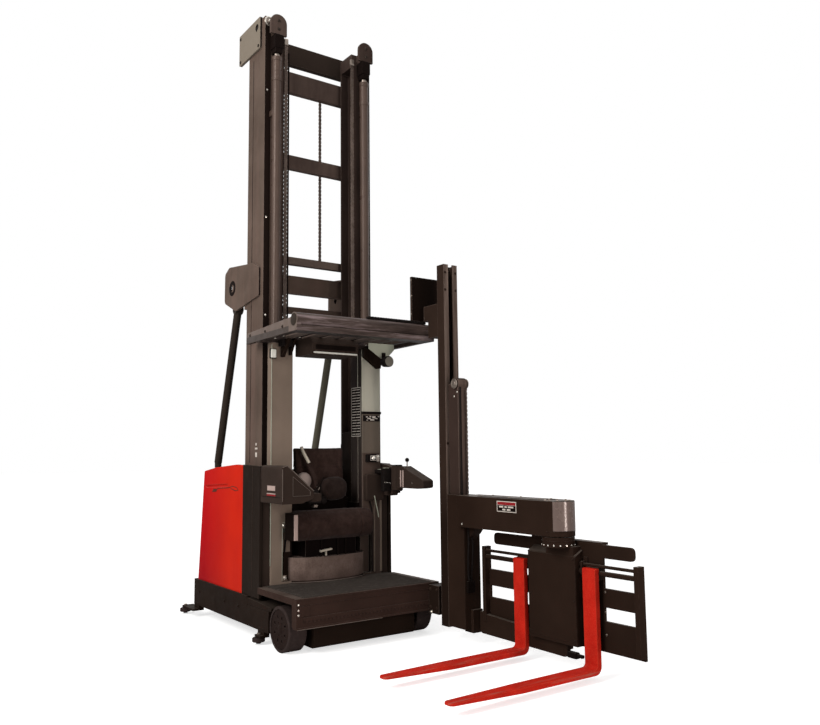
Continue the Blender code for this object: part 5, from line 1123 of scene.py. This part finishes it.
def pad(name, source, cap, grow, seed, creases):
    """A padded piece: the solid's shape remeshed, inflated as cloth, then crowned and creased."""
    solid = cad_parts[source]
    mesh = solid.data.copy()
    obj = bpy.data.objects.new(name, mesh)
    bpy.context.scene.collection.objects.link(obj)
    obj.matrix_world = solid.matrix_world.copy()
    mesh.materials.clear()
    mesh.materials.append(MATS["cloth"])
    lo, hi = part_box(source)
    mid = (Vector(lo) + Vector(hi)) / 2.0
    half = (Vector(hi) - Vector(lo)) / 2.0
    for v in mesh.vertices:
        for i in range(3):
            v.co[i] = mid[i] + (v.co[i] - mid[i]) * (1.0 - grow / half[i])
    with bpy.context.temp_override(active_object=obj, object=obj, selected_objects=[obj]):
        remesh = obj.modifiers.new("remesh", "REMESH")
        remesh.mode = "VOXEL"
        remesh.voxel_size = 0.006
        bpy.ops.object.modifier_apply(modifier=remesh.name)
    start = [v.co.copy() for v in obj.data.vertices]
    for v, was, now in zip(obj.data.vertices, start, inflated(obj)):
        step = now - was
        if step.length > cap:
            step = step.normalized() * cap
        v.co = was + step
    bpy.context.scene.frame_set(1)
    bm = bmesh.new()
    bm.from_mesh(obj.data)
    for _ in range(3):
        bmesh.ops.smooth_vert(bm, verts=bm.verts, factor=0.5, use_axis_x=True, use_axis_y=True,
                              use_axis_z=True)
    bm.normal_update()
    for v in bm.verts:
        p = v.co
        puff = noise.noise(Vector((p.x * 9.0 + seed, p.y * 9.0, p.z * 9.0))) * 0.0022
        for axis, place, width, depth in creases:
            away = abs(p[axis] - place)
            if away < width:
                puff -= depth * (0.5 + 0.5 * math.cos(math.pi * away / width))
        v.co = p + v.normal * puff
    bm.to_mesh(obj.data)
    bm.free()
    obj.data.shade_smooth()
    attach(obj, "platform")
    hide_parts(source)


def hip_pad():
    """Hip pad hung in front of the backrest: a squared cushion, flat towards the seat."""
    cx, cy, cz = -0.478, 0.088, 1.215
    power = 2.6
    steps = 18
    bm = bmesh.new()
    rows = []
    for i in range(steps + 1):
        t = math.pi * i / steps
        r = math.sin(t) ** 0.55
        row = []
        for c, s in ring(0.0, 0.0, 1.0, 32):
            square = r / max(abs(c) ** power + abs(s) ** power, 1e-6) ** (1.0 / power)
            row.append((cx - 0.052 * math.cos(t), cy + 0.142 * square * c * 0.92, cz + 0.103 * square * s))
        rows.append(row)
    loft(bm, rows, False)
    bmesh.ops.remove_doubles(bm, verts=bm.verts, dist=1e-6)
    for v in bm.verts:
        v.co.z += noise.noise(v.co * 12.0) * 0.002
    # the pad wears the darker copy of the upholstery, painted shade
    hip = finish_piece("hip_pad", bm, "hip", "platform", 60.0)


def seat_details():
    """Seat pads, belt and the parts round the seat."""
    y0 = SHIFT_Y
    pad("seat_cushion_pad", "seat_cushion", 0.009, 0.007, 3.0,
        [(1, y0 - 0.255, 0.009, 0.006), (1, y0 + 0.255, 0.009, 0.006)])
    pad("seat_back_pad", "seat_back", 0.010, 0.007, 11.0,
        [(2, 1.400, 0.010, 0.005), (1, y0 - 0.185, 0.009, 0.004), (1, y0 + 0.185, 0.009, 0.004)])
    hip_pad()
    # belt and its end fitting at the backrest's right
    tube("belt_post", "cream", [(-0.52, -0.215, 1.585), (-0.505, -0.2, 1.535), (-0.488, -0.172, 1.475),
        (-0.48, -0.158, 1.443)], 0.0145, 10, 8)
    path = [Vector(p) for p in ((-0.482, -0.160, 1.445), (-0.470, -0.142, 1.390), (-0.458, -0.122, 1.335),
                                (-0.450, -0.108, 1.280), (-0.445, -0.098, 1.230))]
    rows = []
    for i, p in enumerate(path):
        q = path[min(i + 1, len(path) - 1)] - path[max(i - 1, 0)]
        side = q.cross(Vector((1.0, 0.2, 0.3))).normalized() * 0.021
        up = q.cross(side).normalized() * 0.0016
        rows.append([p + side + up, p - side + up, p - side - up, p + side - up])
    build("belt", "cloth", [(loft, rows)], welded=False)
    # pale rounded reel beside the backrest
    angles = [math.pi * k / 12 for k in range(13)]
    build("belt_reel_cover", "ball", [
        (turned, "x", -0.2, 1.29, [(0.074 * math.sin(t), -0.545 + 0.088 * (1.0 - math.cos(t)) / 2.0)
         for t in angles], 28)])
    # lever and clamps between console and seat
    build("seat_latch", "plastic", [
        (prism, "x", rounded_rect(-0.205, -0.03, 1.095, 1.15, 0.018), -0.47, -0.4, 0.006),
        (turned, "x", -0.13, 1.182, [(0.0, -0.455), (0.032, -0.455), (0.036, -0.445), (0.036, -0.415),
         (0.028, -0.405), (0.0, -0.405)], 22),
        (turned, "x", -0.06, 1.115, [(0.0, -0.402), (0.024, -0.402), (0.024, -0.38), (0.016, -0.374),
         (0.0, -0.374)], 18)])
    tube("seat_lever", "dark", [(-0.43, -0.12, 1.19), (-0.415, -0.085, 1.265), (-0.405, -0.05, 1.32)],
         0.009, 10, 6)
    build("latch_parts", "steel", [
        (box, -0.462, -0.405, -0.15, -0.115, 1.06, 1.086, 0.003),
        (turned, "x", -0.118, 1.17, [(0.0, -0.404), (0.01, -0.404), (0.01, -0.396), (0.0, -0.395)], 14),
        (turned, "x", -0.094, 1.225, [(0.0, -0.43), (0.011, -0.43), (0.011, -0.42), (0.0, -0.418)], 14),
        (box, -0.444, -0.432, -0.105, -0.083, 1.205, 1.24, 0.002)])
    # pale guard rail and dark cheek at the cushion's right end
    build("cushion_rail", "label_pink", [(box, -0.247, -0.236, -0.423, -0.391, 0.812, 1.022, 0.002)])
    build("cushion_cheek", "dark", [(box, -0.415, -0.2472, -0.42, -0.393, 0.805, 1.03, 0.003)])


# floor, light and background
AMBIENT = 0.16
WHITE = (1.0, 1.0, 1.0, 1.0)
FLOOR_HALF = 60.0


def lay_floor():
    """White floor that keeps its shadows and glows towards pure white away from the truck."""
    mesh = bpy.data.meshes.new("floor")
    bm = bmesh.new()
    h = FLOOR_HALF
    bm.faces.new([bm.verts.new(p) for p in ((-h, -h, 0.0), (h, -h, 0.0), (h, h, 0.0), (-h, h, 0.0))])
    bm.to_mesh(mesh)
    bm.free()
    floor = bpy.data.objects.new("floor", mesh)
    bpy.context.scene.collection.objects.link(floor)
    m = Nodes("floor_white")
    tone = m.ramp(m.noise(1.2, 3.0), [(0.3, srgb(236, 236, 236)), (0.7, srgb(240, 240, 240))])
    m.finish({"Base Color": tone, "Roughness": 0.9, "Specular IOR Level": 0.1})
    far = m.add("ShaderNodeVectorMath", {"Vector": m.place}, operation="LENGTH").outputs["Value"]
    glow = m.add("ShaderNodeEmission", {"Color": WHITE, "Strength": m.ranged(far, 3.5, 9.0, 0.66, 1.0)})
    lit = m.shader.outputs[0]
    both = m.add("ShaderNodeAddShader", {0: lit, 1: glow.outputs[0]}).outputs[0]
    seen = m.add("ShaderNodeLightPath").outputs["Is Camera Ray"]
    pick = m.add("ShaderNodeMixShader", {0: seen, 1: lit, 2: both}).outputs[0]
    feed(m.tree, m.tree.nodes["Material Output"].inputs["Surface"], pick)
    mesh.materials.append(m.mat)


def surroundings():
    """White to the camera, in glossy reflections and through glass, and a dim light otherwise."""
    world = bpy.data.worlds.new("world")
    bpy.context.scene.world = world
    world.use_nodes = True
    tree = world.node_tree
    path = add_node(tree, "ShaderNodeLightPath").outputs
    seen = path["Is Camera Ray"]
    for kind in ("Is Glossy Ray", "Is Transmission Ray"):
        seen = add_node(tree, "ShaderNodeMath", {0: seen, 1: path[kind]}, operation="MAXIMUM").outputs[0]
    values = {"Value": seen, "To Min": AMBIENT, "To Max": 1.0}
    level = add_node(tree, "ShaderNodeMapRange", values).outputs[0]
    back = tree.nodes["Background"]
    feed(tree, back.inputs["Color"], WHITE)
    feed(tree, back.inputs["Strength"], level)


def area(name, place, target, size, power, colour=(1.0, 1.0, 1.0)):
    data = bpy.data.lights.new(name, "AREA")
    data.shape = "RECTANGLE"
    data.size, data.size_y = size
    data.energy = power
    data.color = colour
    obj = bpy.data.objects.new(name, data)
    obj.location = place
    obj.rotation_euler = (Vector(target) - Vector(place)).to_track_quat("-Z", "Y").to_euler()
    bpy.context.scene.collection.objects.link(obj)


def stage():
    lay_floor()
    surroundings()
    area("key", (1.8, -8.5, 6.5), (-0.6, 0.0, 2.2), (4.0, 6.0), 820.0, (1.0, 0.985, 0.96))
    area("front", (7.5, -1.0, 4.5), (0.0, 0.2, 1.8), (3.0, 6.0), 90.0, (1.0, 0.98, 0.95))
    area("strip", (7.1, 1.35, 1.30), (1.7, 0.66, 1.0), (0.6, 2.3), 100.0, (1.0, 0.90, 0.86))
    area("top", (0.0, 0.0, 10.5), (0.0, 0.0, 0.0), (6.0, 6.0), 260.0)
    bpy.context.scene.view_settings.view_transform = "Standard"


mast_details()
guard_details()
column_details()
floor_details()
console_details()
handler_details()
arm_details()
carriage_details()
wheel_details()
seat_details()
stage()
